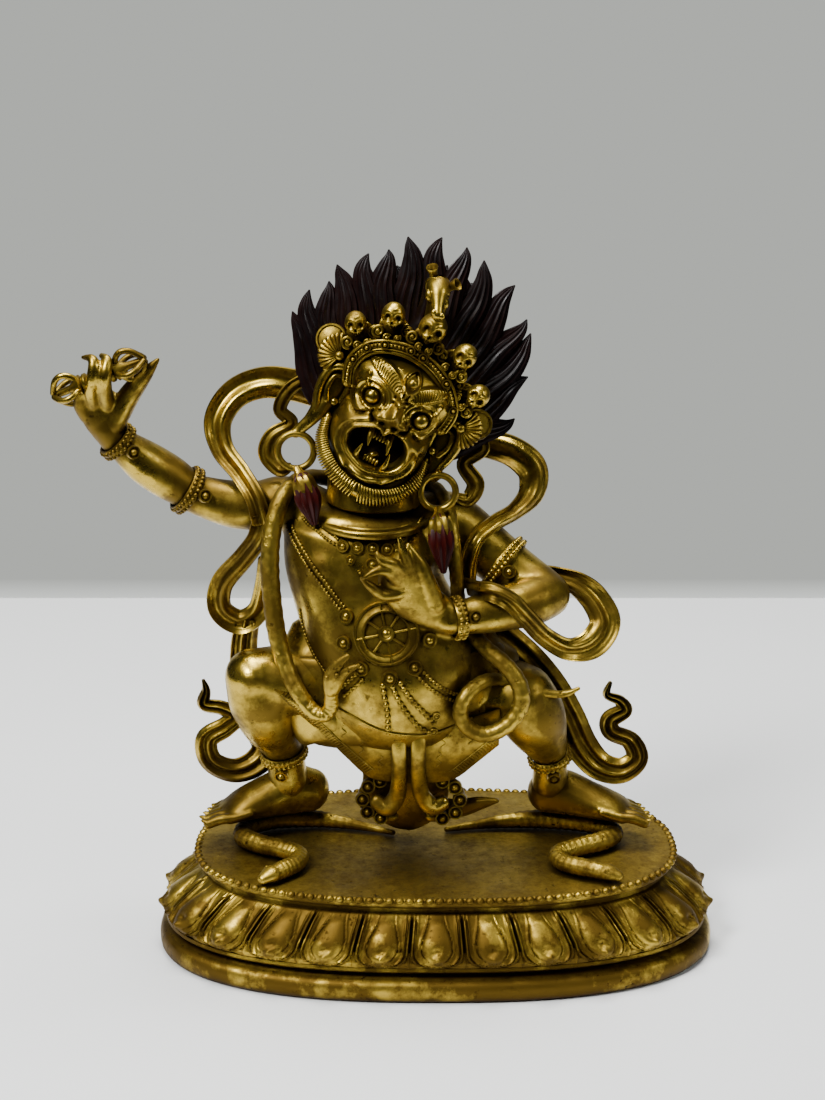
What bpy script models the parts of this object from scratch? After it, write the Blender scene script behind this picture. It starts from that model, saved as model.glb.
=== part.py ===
"""A gilt bronze wrathful deity striding on two snakes over an oval lotus base.

The origin is the centre of the base's underside. +Z is up and the figure faces -Y.
Lengths are metres. The figure is drawn in millimetres above the base's top plate, at its own
full height, and figure_point() carries that drawing to the real size.
"""

import math

import bmesh
import bpy
from mathutils import Matrix, Vector

# The lotus base
BASE_HEIGHT = 0.025
FOOT_RING_WIDTH = 0.1418
FOOT_RING_DEPTH = 0.0764
FOOT_RING_HEIGHT = 0.0056
TOP_PLATE_WIDTH = 0.1218
TOP_PLATE_DEPTH = 0.0660
PETAL_TIP_HEIGHT = 0.0085
PETAL_ROOT_HEIGHT = 0.0202
PETAL_BULGE = 0.0024
# The share of that bulge that lies inside the base's own curve, at the notch between two petals
PETAL_NOTCH = 0.45
PETAL_COUNT = 26
RIM_THICKNESS = 0.0028
OVAL_POWER = 2.5
STEPS_PER_PETAL = 4

# The figure and what it stands on
FIGURE_HEIGHT = 0.1535
DRAWN_HEIGHT = 153.5
FOOT_SNAKE_THICKNESS = 0.0050
SEAT_GAP = 0.0003
NECK_RADIUS = 0.0104
# The neck starts over the collar's top, in drawn millimetres, with a nearly flat end
COLLAR_TOP = 89.9
NECK_BLUNT = 0.15
# The cast skin's voxels, and the share of its faces that each solid keeps
CAST_GRAIN = 0.00045
FIGURE_FACES_KEPT = 0.0100
HEAD_FACES_KEPT = 0.0168
SHARP_DEGREES = 45

# Colours, linear
BASE_GILT = (0.50, 0.33, 0.12)
FIGURE_GILT = (0.62, 0.40, 0.11)
HEAD_GILT = (0.64, 0.42, 0.12)
RIGHT_SNAKE_GILT = (0.45, 0.30, 0.11)
LEFT_SNAKE_GILT = (0.46, 0.31, 0.11)

# One drawn millimetre, in metres
UNIT = FIGURE_HEIGHT / DRAWN_HEIGHT
SNAKE_TOP = FOOT_SNAKE_THICKNESS + SEAT_GAP
# The drawing's soles stand this high, in drawn millimetres, over the top plate.
SOLE = (SNAKE_TOP + SEAT_GAP) / UNIT
DRAWN_SOLE = 5.6


def figure_point(x, y, z):
    """A drawn point, in metres. The whole figure rises with its snakes' thickness."""
    lift = SOLE - DRAWN_SOLE
    return Vector((x, y, z + lift)) * UNIT + Vector((0, 0, BASE_HEIGHT))


def plate_point(x, y, z):
    """A point drawn on the base's top plate, in metres."""
    return Vector((x, y, z)) * UNIT + Vector((0, 0, BASE_HEIGHT))


# Shape tools


def spline(rows, per_span):
    """Rows of numbers, smoothed by a Catmull-Rom curve through all of them."""
    smooth = []
    last = len(rows) - 1
    for i in range(last):
        before, start = rows[max(i - 1, 0)], rows[i]
        end, after = rows[i + 1], rows[min(i + 2, last)]
        for step in range(per_span):
            t = step / per_span
            smooth.append([
                0.5 * (2 * b + (c - a) * t + (2 * a - 5 * b + 4 * c - d) * t * t
                       + (3 * b - a - 3 * c + d) * t ** 3)
                for a, b, c, d in zip(before, start, end, after)
            ])
    smooth.append(list(rows[-1]))
    return smooth


def round_section(sides):
    return [(math.cos(math.tau * i / sides), math.sin(math.tau * i / sides)) for i in range(sides)]


# A ribbon's section: half widths across, and depths that leave two long folds on its face.
RIBBON_SECTION = [(1, 0.2), (0.75, 1.0), (0.38, 0.9), (0, 0.35), (-0.38, 0.9), (-0.75, 1.0),
                  (-1, 0.2), (-0.8, -0.7), (0, -0.9), (0.8, -0.7)]


def add_object(name, points, faces):
    mesh = bpy.data.meshes.new(name)
    mesh.from_pydata(points, [], faces)
    mesh.update()
    made = bpy.data.objects.new(name, mesh)
    bpy.context.scene.collection.objects.link(made)
    return made


def closed_rings(name, rings, first_tip, last_tip):
    """One closed skin over rings of equal count, with a point at each end."""
    sides = len(rings[0])
    points = [first_tip] + [p for ring in rings for p in ring] + [last_tip]
    faces = []
    for i in range(sides):
        j = (i + 1) % sides
        faces.append((0, 1 + j, 1 + i))
        for r in range(len(rings) - 1):
            a = 1 + r * sides
            faces.append((a + i, a + j, a + sides + j, a + sides + i))
        a = 1 + (len(rings) - 1) * sides
        faces.append((a + i, a + j, len(points) - 1))
    return add_object(name, points, faces)


def sweep(rows, section=None, per_span=2, facing=(0, -1, 0), point=figure_point, blunt=1.0):
    """A closed solid along rows of x, y, z, half width, half depth and roll in degrees.

    facing is the way its depth points. blunt is how round its two ends are.
    """
    section = section or round_section(8)
    rows = [tuple(r) + (r[3],) * (5 - len(r)) + (0,) * (len(r) < 6) for r in rows]
    smooth = spline([r[:6] for r in rows], per_span)
    centres = [Vector(r[:3]) for r in smooth]
    rings = []
    for i, row in enumerate(smooth):
        along = (centres[min(i + 1, len(centres) - 1)] - centres[max(i - 1, 0)]).normalized()
        depth = Vector(facing) - along * along.dot(Vector(facing))
        if depth.length < 0.15:
            depth = Vector((1, 0, 0)).cross(along)
        depth = Matrix.Rotation(math.radians(row[5]), 3, along) @ depth.normalized()
        across = depth.cross(along)
        rings.append((centres[i], along, across, depth, row[3], row[4]))
    ends = []
    for at, sign in ((0, -1), (-1, 1)):
        centre, along, across, depth, wide, deep = rings[at]
        reach = sign * min(wide, deep) * blunt
        ends.append((
            (centre + along * reach * 0.7, along, across, depth, wide * 0.7, deep * 0.7),
            centre + along * reach,
        ))
    rings = [ends[0][0]] + rings + [ends[1][0]]
    placed = [
        [point(*(c + across * u * wide + depth * v * deep)) for u, v in section]
        for c, _, across, depth, wide, deep in rings
    ]
    return closed_rings("piece", placed, point(*ends[0][1]), point(*ends[1][1]))


def ball(centre, radii, sides=10, stacks=6, turn=None):
    """An ellipsoid, whose axes turn is the columns of, when it is given."""
    turn = turn or Matrix.Identity(3)
    rings = []
    for k in range(1, stacks):
        a = math.pi * k / stacks - math.pi / 2
        rings.append([
            figure_point(*(Vector(centre) + turn @ Vector((
                radii[0] * math.cos(a) * c, radii[1] * math.cos(a) * s, radii[2] * math.sin(a)))))
            for c, s in round_section(sides)
        ])
    low = figure_point(*(Vector(centre) + turn @ Vector((0, 0, -radii[2]))))
    high = figure_point(*(Vector(centre) + turn @ Vector((0, 0, radii[2]))))
    return closed_rings("piece", rings, low, high)


def hoop(centre, radius, thickness, turn, sides=6, steps=14):
    """A closed ring of round wire in the XZ plane of turn."""
    points, faces = [], []
    for i in range(steps):
        a = math.tau * i / steps
        out = Vector((math.cos(a), 0, math.sin(a)))
        for c, s in round_section(sides):
            offset = out * (radius + thickness * c) + Vector((0, thickness * s, 0))
            points.append(figure_point(*(Vector(centre) + turn @ offset)))
    for i in range(steps):
        for j in range(sides):
            k, n = (j + 1) % sides, (i + 1) % steps
            faces.append((i * sides + j, i * sides + k, n * sides + k, n * sides + j))
    return add_object("piece", points, faces)


def joined_by(body, operation, pieces):
    """Adds a Boolean of pieces to body's modifiers. The pieces go in a collection of their own."""
    bag = bpy.data.collections.new(body.name + "_" + operation.lower())
    for piece in pieces:
        bag.objects.link(piece)
    step = body.modifiers.new(operation.lower(), "BOOLEAN")
    step.operation = operation
    step.operand_type = "COLLECTION"
    step.collection = bag
    return bag


def cast_as_one(name, body, stages, share, material):
    """Joins and cuts body by stages of pieces, under one cast skin that keeps a share of its faces."""
    bags = [joined_by(body, operation, pieces) for operation, pieces in stages]
    skin = body.modifiers.new("cast_skin", "REMESH")
    skin.mode = "VOXEL"
    skin.voxel_size = CAST_GRAIN
    seen = body.evaluated_get(bpy.context.evaluated_depsgraph_get())
    cast = bpy.data.meshes.new_from_object(seen)
    body.modifiers.clear()
    body.data = cast
    keep_main_body(cast)
    for bag in bags:
        for piece in list(bag.objects):
            bpy.data.objects.remove(piece)
        bpy.data.collections.remove(bag)
    thin = body.modifiers.new("fewer_faces", "DECIMATE")
    thin.ratio = share
    return finish_node(name, body, material)


def keep_main_body(mesh):
    """Drops the specks that a cast skin can leave inside the metal."""
    shape = bmesh.new()
    shape.from_mesh(mesh)
    waiting = set(shape.verts)
    bodies = []
    while waiting:
        front = [waiting.pop()]
        found = list(front)
        while front:
            spot = front.pop()
            near = {edge.other_vert(spot) for edge in spot.link_edges} & waiting
            waiting -= near
            front += near
            found += near
        bodies.append(found)
    bodies.sort(key=len)
    for speck in bodies[:-1]:
        bmesh.ops.delete(shape, geom=speck, context="VERTS")
    shape.to_mesh(mesh)
    shape.free()


def finish_node(name, body, material):
    body.name = name
    body.data.name = name
    body.data.materials.append(material)
    body.data.shade_smooth()
    body.data.set_sharp_from_angle(angle=math.radians(SHARP_DEGREES))
    return body


def metal(name, colour, roughness):
    made = bpy.data.materials.new(name)
    made.use_nodes = True
    shader = made.node_tree.nodes["Principled BSDF"]
    shader.inputs["Base Color"].default_value = (*colour, 1)
    shader.inputs["Metallic"].default_value = 1.0
    shader.inputs["Roughness"].default_value = roughness
    return made


# The lotus base


def oval(width, depth, count, z, bulge=lambda share: 0.0):
    """Points round an oval, evenly spaced along it. bulge moves each one outwards."""
    fine = 720
    ring = []
    for i in range(fine + 1):
        a = math.tau * i / fine
        c, s = math.cos(a), math.sin(a)
        ring.append(Vector((
            math.copysign(abs(c) ** (2 / OVAL_POWER), c) * width / 2,
            math.copysign(abs(s) ** (2 / OVAL_POWER), s) * depth / 2,
        )))
    lengths = [0.0]
    for a, b in zip(ring, ring[1:]):
        lengths.append(lengths[-1] + (b - a).length)
    points, k = [], 0
    for i in range(count):
        want = lengths[-1] * i / count
        while lengths[k + 1] < want:
            k += 1
        part = (want - lengths[k]) / (lengths[k + 1] - lengths[k])
        spot = ring[k].lerp(ring[k + 1], part)
        edge = (ring[k + 1] - ring[k]).normalized()
        spot += Vector((edge.y, -edge.x)) * bulge(i / count)
        points.append(Vector((spot.x, spot.y, z)))
    return points


def petal_bulge(share):
    """How far a petal stands out, from the notch between two petals to its middle."""
    return PETAL_BULGE * (abs(math.sin(math.pi * PETAL_COUNT * share)) - PETAL_NOTCH)


def make_lotus_base(material):
    count = PETAL_COUNT * STEPS_PER_PETAL
    ring_w, ring_d = FOOT_RING_WIDTH, FOOT_RING_DEPTH
    top_w, top_d = TOP_PLATE_WIDTH, TOP_PLATE_DEPTH
    petal_rise = PETAL_ROOT_HEIGHT - PETAL_TIP_HEIGHT
    # Each level: how far from the top plate's size (0) to the foot ring's (1), an inset, a height
    # and how strongly the petals show there.
    levels = [
        (1, 0.0014, 0, 0),
        (1, 0.0, FOOT_RING_HEIGHT * 0.5, 0),
        (1, 0.0032, FOOT_RING_HEIGHT * 1.1, 0),
        (1, 0.0018, PETAL_TIP_HEIGHT * 0.9, 0.2),
        (0.95, 0.0, PETAL_TIP_HEIGHT + petal_rise * 0.16, 1),
        (0.68, 0.0, PETAL_TIP_HEIGHT + petal_rise * 0.48, 1),
        (0.28, 0.0, PETAL_TIP_HEIGHT + petal_rise * 0.80, 0.6),
        (0.0, 0.0012, PETAL_ROOT_HEIGHT, 0.2),
        (0.0, 0.0016, BASE_HEIGHT - RIM_THICKNESS, 0),
        (0.0, -0.0002, BASE_HEIGHT - RIM_THICKNESS * 0.5, 0),
        (0.0, 0.0006, BASE_HEIGHT, 0),
    ]
    rings = []
    for spread, inset, z, petals in levels:
        width = top_w + (ring_w - top_w) * spread - 2 * inset
        depth = top_d + (ring_d - top_d) * spread - 2 * inset
        rings.append(oval(width, depth, count, z, lambda share: petals * petal_bulge(share)))
    base = closed_rings("lotus_base", rings, Vector((0, 0, 0)), Vector((0, 0, BASE_HEIGHT)))
    return finish_node("lotus_base", base, material)


# The snakes under the feet. Each row is x, y and radius; the snake lies on the top plate.

RIGHT_FOOT_SNAKE = [
    (-11, 3, 0.7), (-18, 5.5, 1.2), (-26, 7.5, 1.9), (-34, 8, 2.4), (-42, 7, 2.5), (-48, 3, 2.5),
    (-49, -3, 2.5), (-44.5, -7.6, 2.5), (-38.5, -10.4, 2.4), (-34.2, -13.6, 2.3),
    (-34.6, -18, 2.2), (-37.6, -21.6, 2.3), (-40.4, -24, 1.9),
]
LEFT_FOOT_SNAKE = [
    (3, 5, 0.7), (10, 6.5, 1.2), (18, 7.5, 1.9), (26, 7.5, 2.4), (34, 6.5, 2.5), (41.5, 4, 2.5),
    (45.5, -1, 2.5), (42, -6, 2.5), (35.5, -9.4, 2.4), (30.4, -13.2, 2.3),
    (31.6, -17.8, 2.2), (37, -21, 2.3), (42, -23, 1.9),
]


def make_foot_snake(name, rows, material):
    thick = FOOT_SNAKE_THICKNESS / UNIT / 2
    gap = SEAT_GAP / UNIT
    full = max(r[2] for r in rows)
    path = [(x, y, gap + r / full * thick, r / full * thick) for x, y, r in rows]
    snake = sweep(path, round_section(7), 2, (0, 0, 1), plate_point)
    return finish_node(name, snake, material)


# The body. Rows are x, y, z, half width and half depth.

TORSO = [
    (-7, 1, 25, 11, 8), (-7, 0, 33, 18, 13), (-8, -2, 40, 20.5, 16), (-9.5, -3, 47, 21.5, 17.2),
    (-11, -3.5, 54, 20.8, 16.8), (-14, -3, 61, 19.2, 15.2), (-16.5, -2, 68, 18.6, 13.8),
    (-17.3, -1, 75.5, 20, 13.4), (-16.3, 0, 82, 20.8, 12.6), (-15.8, 0, 86.6, 17, 11),
]
RIGHT_ARM = [
    (-24, 2, 82.4, 7.4), (-33, 3, 87.6, 6.9), (-38.3, 3, 89, 6.6), (-42.7, 3, 88.3, 6.2),
    (-49.2, 2, 88.8, 5.9), (-56.4, 1, 90.9, 5.1), (-59.9, 0, 92.7, 4.8), (-64.5, -1, 96.2, 5.5),
    (-70, -3, 100.6, 5.3), (-74.3, -5, 104.8, 4.1), (-76.7, -6, 106.9, 3.6), (-78, -7, 110, 3.7),
]
LEFT_ARM = [
    (-8, 2, 82, 8), (0, 3.5, 84, 7.8), (4.6, 4, 83, 7.4), (10.7, 3, 78.4, 6.9),
    (18.1, 1, 72.9, 6.4), (24.1, -2, 69.2, 6.0), (27, -4, 67.6, 5.7),
]
LEFT_FOREARM = [
    (27, -4.2, 67.6, 5.7), (22.6, -8, 67, 5.9), (16.4, -11, 66.4, 5.5), (10.3, -13, 65.6, 4.8),
    (4.5, -15, 65.2, 4.0), (2, -15.6, 65.4, 3.8),
]
RIGHT_THIGH = [(-12, 1, 38, 11), (-24, -1, 42, 10.6), (-34, -4, 45.5, 9.2), (-45.2, -7, 47.6, 6.9)]
RIGHT_CALF = [
    (-45.2, -7, 47.4, 6.9), (-43.6, -5.5, 41, 7.9), (-41.6, -3, 34, 7.2), (-39.2, 1, 27, 5.4),
    (-38.3, 3, 22.5, 4.8), (-37.8, 4, 15, 5.2),
]
LEFT_THIGH = [(-2, 1, 38, 11), (8, 0, 40.5, 10.6), (15, -2, 41.6, 9.4), (21.2, -5, 41.4, 8.4)]
LEFT_CALF = [
    (21.4, -5, 41.5, 8.2), (24, -4, 36, 8.3), (26.3, -1.5, 30.5, 6.9), (28.6, 1.5, 24.4, 4.7),
    (29.2, 2.8, 21, 4.2), (29.4, 4, 15, 4.8),
]
# Soft masses over those limbs: the belly, the chest, the knees and the calves, as centre and radii.
MUSCLES = [
    ((-9.5, -5.5, 50), (20, 15.5, 16.5)), ((-25, -7, 76.5), (8, 6.5, 6.5)),
    ((-8.5, -7.5, 76.5), (8, 6.5, 6.5)), ((-44.8, -9.5, 48), (5, 5, 5)), ((22, -8, 42), (5.6, 5.4, 5.6)),
    ((-41.5, -1, 37), (6.5, 8, 7)), ((26, 0, 33), (6.2, 7.6, 6.5)),
]
# Feet run from heel to toes: x, y, half width, height of the instep.
RIGHT_FOOT = [
    (-32.4, 6.5, 5.0, 11.6), (-37, 5.4, 5.5, 13), (-43, 3.6, 5.8, 10.8), (-49, 1.8, 6.1, 7.8),
    (-54.4, 0.4, 6.0, 5.2),
]
LEFT_FOOT = [
    (28.6, 6, 4.8, 10.8), (33, 5, 5.3, 11.8), (39.5, 3.4, 5.8, 9), (45.5, 1.8, 6.0, 6.4),
    (49.6, 0.8, 5.8, 4.8),
]
TOE_RADIUS = 1.35

# The tiger skin: lengthwise rows are x, y, z, half width and half depth.
SKIRT = [
    (-11, 0, 56, 26, 9), (-11, -1, 51, 31.5, 11.5), (-10.8, -3, 45, 29.5, 12.6),
    (-7.8, -5.4, 38.5, 25.6, 10.6), (-6.2, -5, 32, 20.8, 7.4), (-6.4, -3.2, 25.5, 16.2, 5),
    (-6.9, -1.6, 19.4, 11.8, 3.6), (-6.9, 0, 13.6, 11.6, 3), (-4.6, 0.8, 8.4, 8.8, 2.4),
    (-3, 1.4, 5.6, 5.6, 1.6),
]
TIGER_LEGS = [
    [(-9.2, -15.6, 36, 1.9), (-8.9, -11, 29, 1.8), (-9, -6.6, 22, 1.8), (-9.5, -5.4, 16.6, 2),
     (-12, -5, 13.4, 2.2), (-14.4, -4.6, 14.2, 1.9)],
    [(-4.6, -15.6, 36, 1.9), (-4.8, -11, 29, 1.8), (-4.7, -6.6, 22, 1.8), (-3.8, -5.4, 16.6, 2),
     (-1.2, -5, 13.6, 2.2), (0.8, -4.6, 13, 1.9)],
]
TIGER_TAIL = [(2, 0, 9.5, 2.6, 1.5), (6, -1, 9.6, 2.5, 1.4), (11, -2, 11.4, 1.9, 1.2),
              (15.4, -3, 12.6, 0.7, 0.6)]

RIGHT_PALM = [(-77.6, -6.6, 108.6, 3.8, 3), (-79, -8, 113, 4.8, 2.8), (-79.6, -8.6, 117.4, 4.6, 2.4)]
LEFT_PALM = [
    (3, -15.6, 65.4, 4, 3.2), (-1.5, -17, 68, 5, 2.8), (-6, -19, 72, 5.8, 2.4),
    (-9, -20.8, 76.4, 5.2, 2.2), (-9.8, -21.6, 79, 4.2, 2),
]
FINGERS = [
    [(-76.4, -7.6, 111, 2.9), (-72.2, -9, 118, 2.6), (-68, -10.8, 123.2, 1.8), (-64.6, -12, 127.1, 0.5)],
    [(-80.4, -9.4, 116, 1.9), (-80.2, -13, 120, 1.7), (-79.2, -15.4, 124, 1.5), (-79.2, -14.6, 127.4, 1.2),
     (-81.8, -12.4, 127.6, 0.6)],
    [(-77.2, -9.6, 116, 1.9), (-77, -13.2, 120, 1.7), (-76.4, -15.6, 124, 1.5), (-76, -14.4, 127.2, 1.2),
     (-77.6, -12.4, 128, 0.7)],
    [(-82.6, -8.4, 113, 1.7), (-83.6, -10.4, 116, 1.5), (-83, -12, 119.4, 1.2)],
    [(-5.5, -20.2, 76, 1.9), (-7.6, -22.4, 82.4, 1.4), (-9, -24, 87.6, 0.5)],
    [(-0.6, -17.8, 69.6, 2.7), (-2.8, -19.8, 76.4, 2.2), (-4.2, -20.8, 80.4, 1.7), (-6.9, -21, 85, 0.7)],
    [(-8.4, -22, 78.6, 1.6), (-10.5, -24, 81.4, 1.4), (-13, -25, 82.6, 1.1), (-14.2, -25, 84.4, 0.5)],
    [(-9.6, -22, 76.8, 1.7), (-12, -24.4, 79.8, 1.4), (-14.5, -25.4, 80, 1.1), (-17, -26, 78.6, 0.5)],
    [(-9.4, -21, 73.4, 1.8), (-13, -22.4, 73.4, 1.5), (-15.5, -24, 75.8, 1.2), (-17.8, -25, 78.2, 0.5)],
]
VAJRA = ((-89.6, -11, 118.2), (-67.4, -13, 127.4))
# The thunderbolt's half profile: share of its length, radius.
VAJRA_PROFILE = [(0.03, 0.5), (0.10, 2.2), (0.18, 3.6), (0.26, 4.1), (0.33, 2.6), (0.42, 2.2),
                 (0.5, 2.6), (0.58, 2.2), (0.67, 2.6), (0.74, 4.1), (0.82, 3.6), (0.90, 2.2),
                 (0.97, 0.5)]


def foot(rows, toes_run):
    """A flat-soled foot, with five toes along toes_run."""
    path = [(x, y, DRAWN_SOLE + h / 2, w, h / 2) for x, y, w, h in rows]
    pieces = [sweep(path, round_section(10), 2, (0, 0, 1))]
    x, y, wide, _ = rows[-1]
    for i in range(5):
        side = y + wide * (0.8 - 0.4 * i)
        reach = toes_run * (1 - 0.12 * abs(i - 3))
        z = DRAWN_SOLE + TOE_RADIUS
        pieces.append(sweep(
            [(x - toes_run * 0.4, side, z + 0.6, TOE_RADIUS), (x + reach, side - 0.4, z, TOE_RADIUS)],
            round_section(6), 1, (0, 0, 1)))
    ground = figure_point(0, 0, DRAWN_SOLE).z
    for piece in pieces:
        for vertex in piece.data.vertices:
            vertex.co.z = max(vertex.co.z, ground)
    return pieces


def vajra():
    low, high = (Vector(end) for end in VAJRA)
    rows = [(*low.lerp(high, share), radius) for share, radius in VAJRA_PROFILE]
    return sweep(rows, round_section(8), 1, blunt=0.6)


# Ornaments: rings round a limb, as centre, radius and the limb's direction.

BANDS = [
    ((-60.4, 0, 92.9), 5.5, (1, 0.3, -0.7), 1.0),
    ((-75.8, -5.6, 106.2), 4.3, (0.8, 0.4, -0.9), 0.9),
    ((16.6, 1.4, 74), 7.0, (1, -0.35, -0.75), 1.0),
    ((4.8, -14.9, 65.2), 4.6, (1, 0.35, 0.05), 1.0),
    ((-38.6, 2.3, 23.6), 5.4, (0.15, 0.3, -1), 1.1),
    ((29.0, 2.2, 22.6), 4.9, (0.25, 0.35, -1), 1.0),
]
COLLAR = ((-15.8, 0, 87), 13.2, (0.02, -0.12, 1), 1.6)
WHEEL = ((-11.9, -19.6, 62.9), 7.9, (0, -1, 0.16), 1.1)


def square_to(direction):
    """A turn whose Y axis is the given direction."""
    return Vector((0, 1, 0)).rotation_difference(Vector(direction)).to_matrix()


# The scarf. Rows are x, y, z, half width, half depth and roll.

SCARF = {
    "right_shoulder": [
        (-8, 16.4, 106.6, 3.4, 0.9, 0), (-18, 16.6, 109.4, 3.6, 0.9, 0), (-28, 15, 113.4, 3.8, 0.9, 0),
        (-36, 12, 116.6, 4, 0.9, 10), (-43, 9.8, 117.4, 3.8, 0.9, 20),
        (-49.4, 8, 114.8, 3.6, 0.9, 10), (-53.2, 6, 109, 3.4, 0.9, 0), (-52.2, 4, 102.4, 2.9, 0.9, -15),
        (-47.7, 0, 97.4, 2.5, 0.9, -10), (-43.9, -4.4, 92.6, 2.4, 0.9, 0), (-42, -5.4, 86.4, 2.6, 0.9, 0),
    ],
    "right_elbow": [
        (-42, -5, 87, 2.6, 0.9, 0), (-43.4, -4.4, 82, 2.6, 0.9, 0), (-47.3, -1, 76, 2.6, 0.9, 15),
        (-53, 2, 68.6, 2.9, 0.9, 25), (-53.9, 4, 61.4, 3, 0.9, 0), (-49.4, 5, 57.6, 3.2, 0.9, 0),
        (-44.6, 4, 60.6, 2.8, 0.9, 0), (-42.4, 1, 68, 2.6, 0.9, 0), (-41.2, -3, 76, 2.4, 0.9, 0),
    ],
    "right_fall": [
        (-47.2, 5, 58, 3, 0.9, 0), (-48.6, 8, 50, 3.4, 0.9, 0), (-48.6, 10, 40, 3.8, 0.9, 0),
        (-46.4, 9.6, 30, 4, 0.9, 0), (-43.4, 8.4, 23, 4, 0.9, 0), (-46.4, 7, 18.6, 3.8, 0.9, 0),
        (-52, 6, 17, 3.6, 0.9, 0), (-57.6, 5.4, 20, 3.2, 0.9, 0), (-58.4, 5, 26, 2.9, 0.9, 0),
        (-53.6, 5, 29.4, 2.6, 0.9, 0), (-50.8, 5, 32.4, 2.4, 0.9, 0), (-54.4, 5, 34.6, 2.2, 0.9, 0),
        (-58.8, 5, 35.6, 1.9, 0.9, 0), (-58.2, 5, 39.4, 1.2, 0.8, 0), (-58.8, 5, 42, 0.5, 0.5, 0),
    ],
    "left_shoulder": [
        (-8, 16.4, 106.6, 3.4, 0.9, 0), (1, 16, 104, 3.4, 0.9, 0), (10, 13.4, 102, 3.4, 0.9, 0),
        (18.4, 11, 100.2, 3.8, 0.9, -15), (23.6, 9, 96, 4.2, 0.9, -20),
        (23.4, 7.6, 90.4, 3.4, 0.9, 0), (19.4, 4.6, 86.6, 2.3, 0.9, 10), (14.2, -0.4, 84.8, 2.1, 0.9, 15),
        (9.8, -4.2, 82, 2.2, 0.9, 0), (7.6, -4.8, 76, 2.4, 0.9, 0), (7.2, -4.6, 70, 2.4, 0.9, 0),
    ],
    "left_elbow": [
        (7.2, -4.6, 70, 2.4, 0.9, 0), (9.6, -12.4, 71.4, 2.3, 0.9, 0), (13, -16.8, 72.2, 2.3, 0.9, 0),
        (17.4, -17.2, 70, 2.3, 0.9, 0), (21.8, -14.6, 64.6, 2.3, 0.9, 0), (26.3, -11, 59, 2.4, 0.9, 0),
        (32.2, -7, 54.6, 2.8, 0.9, 0), (38.2, -4.4, 55, 3.8, 0.9, 0), (41.6, -2, 59.6, 3.9, 0.9, 10),
        (39.2, 0, 65, 3.6, 0.9, 20), (34.8, 1, 68.8, 3.2, 0.9, 0), (29.6, 2.4, 70.2, 2.8, 0.9, 0),
        (24.4, 2.8, 71, 2.6, 0.9, 0),
    ],
    "left_fall": [
        (7, 3, 62, 4, 0.9, 0), (16, 3.6, 54.6, 4.2, 0.9, 0), (23.4, 4, 47.8, 4.2, 0.9, 0),
        (29.3, 4.6, 40.2, 4.2, 0.9, 0), (33.8, 5.4, 32, 4.2, 0.9, 0), (37.4, 6, 24, 4.2, 0.9, 0),
        (42, 5.6, 18.6, 3.8, 0.9, 0), (47.6, 5, 17.4, 3.4, 0.9, 0), (51.6, 5, 20.8, 2.9, 0.9, 0),
        (49.8, 5, 25.6, 2.6, 0.9, 0), (45, 5, 28, 2.5, 0.9, 0), (44.4, 5, 31.4, 2.4, 0.9, 0),
        (48, 5, 34, 2, 0.9, 0), (46.6, 5, 36.6, 1.6, 0.9, 0), (43.4, 5, 38.2, 1.1, 0.8, 0),
        (44.2, 5, 41.4, 0.5, 0.5, 0),
    ],
}

# The snake worn as a garland, from its head on the belly to the tip of its tail.
GARLAND_SNAKE = [
    (-21, -22.4, 54, 1.9), (-23.4, -20.4, 50, 1.8), (-25.1, -18.6, 44.6, 1.8), (-27, -17.6, 41.4, 1.9),
    (-30.5, -16.4, 42.6, 2), (-34.2, -14.4, 47.4, 2.1), (-37.1, -12, 53.7, 2.2), (-38.8, -10.8, 60.5, 2.3),
    (-39.8, -9.6, 68.6, 2.3), (-40.2, -8.6, 76.6, 2.3), (-39.6, -7.4, 84.1, 2.2), (-37.6, -5.4, 91.4, 2.1),
    (-34.2, 0, 95, 2), (-29.4, 7.4, 94.4, 2), (-22.6, 12.8, 91.4, 2), (-14.4, 13.8, 90.4, 2),
    (-6.4, 12.2, 91, 2), (-0.6, 6, 92, 1.9), (2.4, -2, 89.4, 1.8), (3.6, -7.6, 84.4, 1.7),
    (4.2, -9.4, 79, 1.7), (4.8, -9.6, 72.4, 1.7), (5.4, -9.4, 66.5, 1.8), (7.6, -9.6, 61.1, 1.9),
    (11.6, -12, 56.8, 2), (16.2, -14.4, 53.4, 2.1), (19.8, -15.6, 48.6, 2.1), (20.2, -16, 43.2, 2.1),
    (17, -16.4, 38.4, 2.1), (11.7, -16.6, 36, 2.1), (7.2, -17.2, 38.2, 2), (5.6, -17.6, 42.6, 1.9),
    (7.4, -17, 46.8, 1.8), (11.6, -13.6, 48.8, 1.7), (16.2, -9.8, 47.6, 1.5), (22.2, -9.6, 45.6, 1.3),
    (27, -10, 44.2, 1.1), (31.4, -10, 44, 0.9), (34.6, -10, 45.4, 0.5),
]


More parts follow.
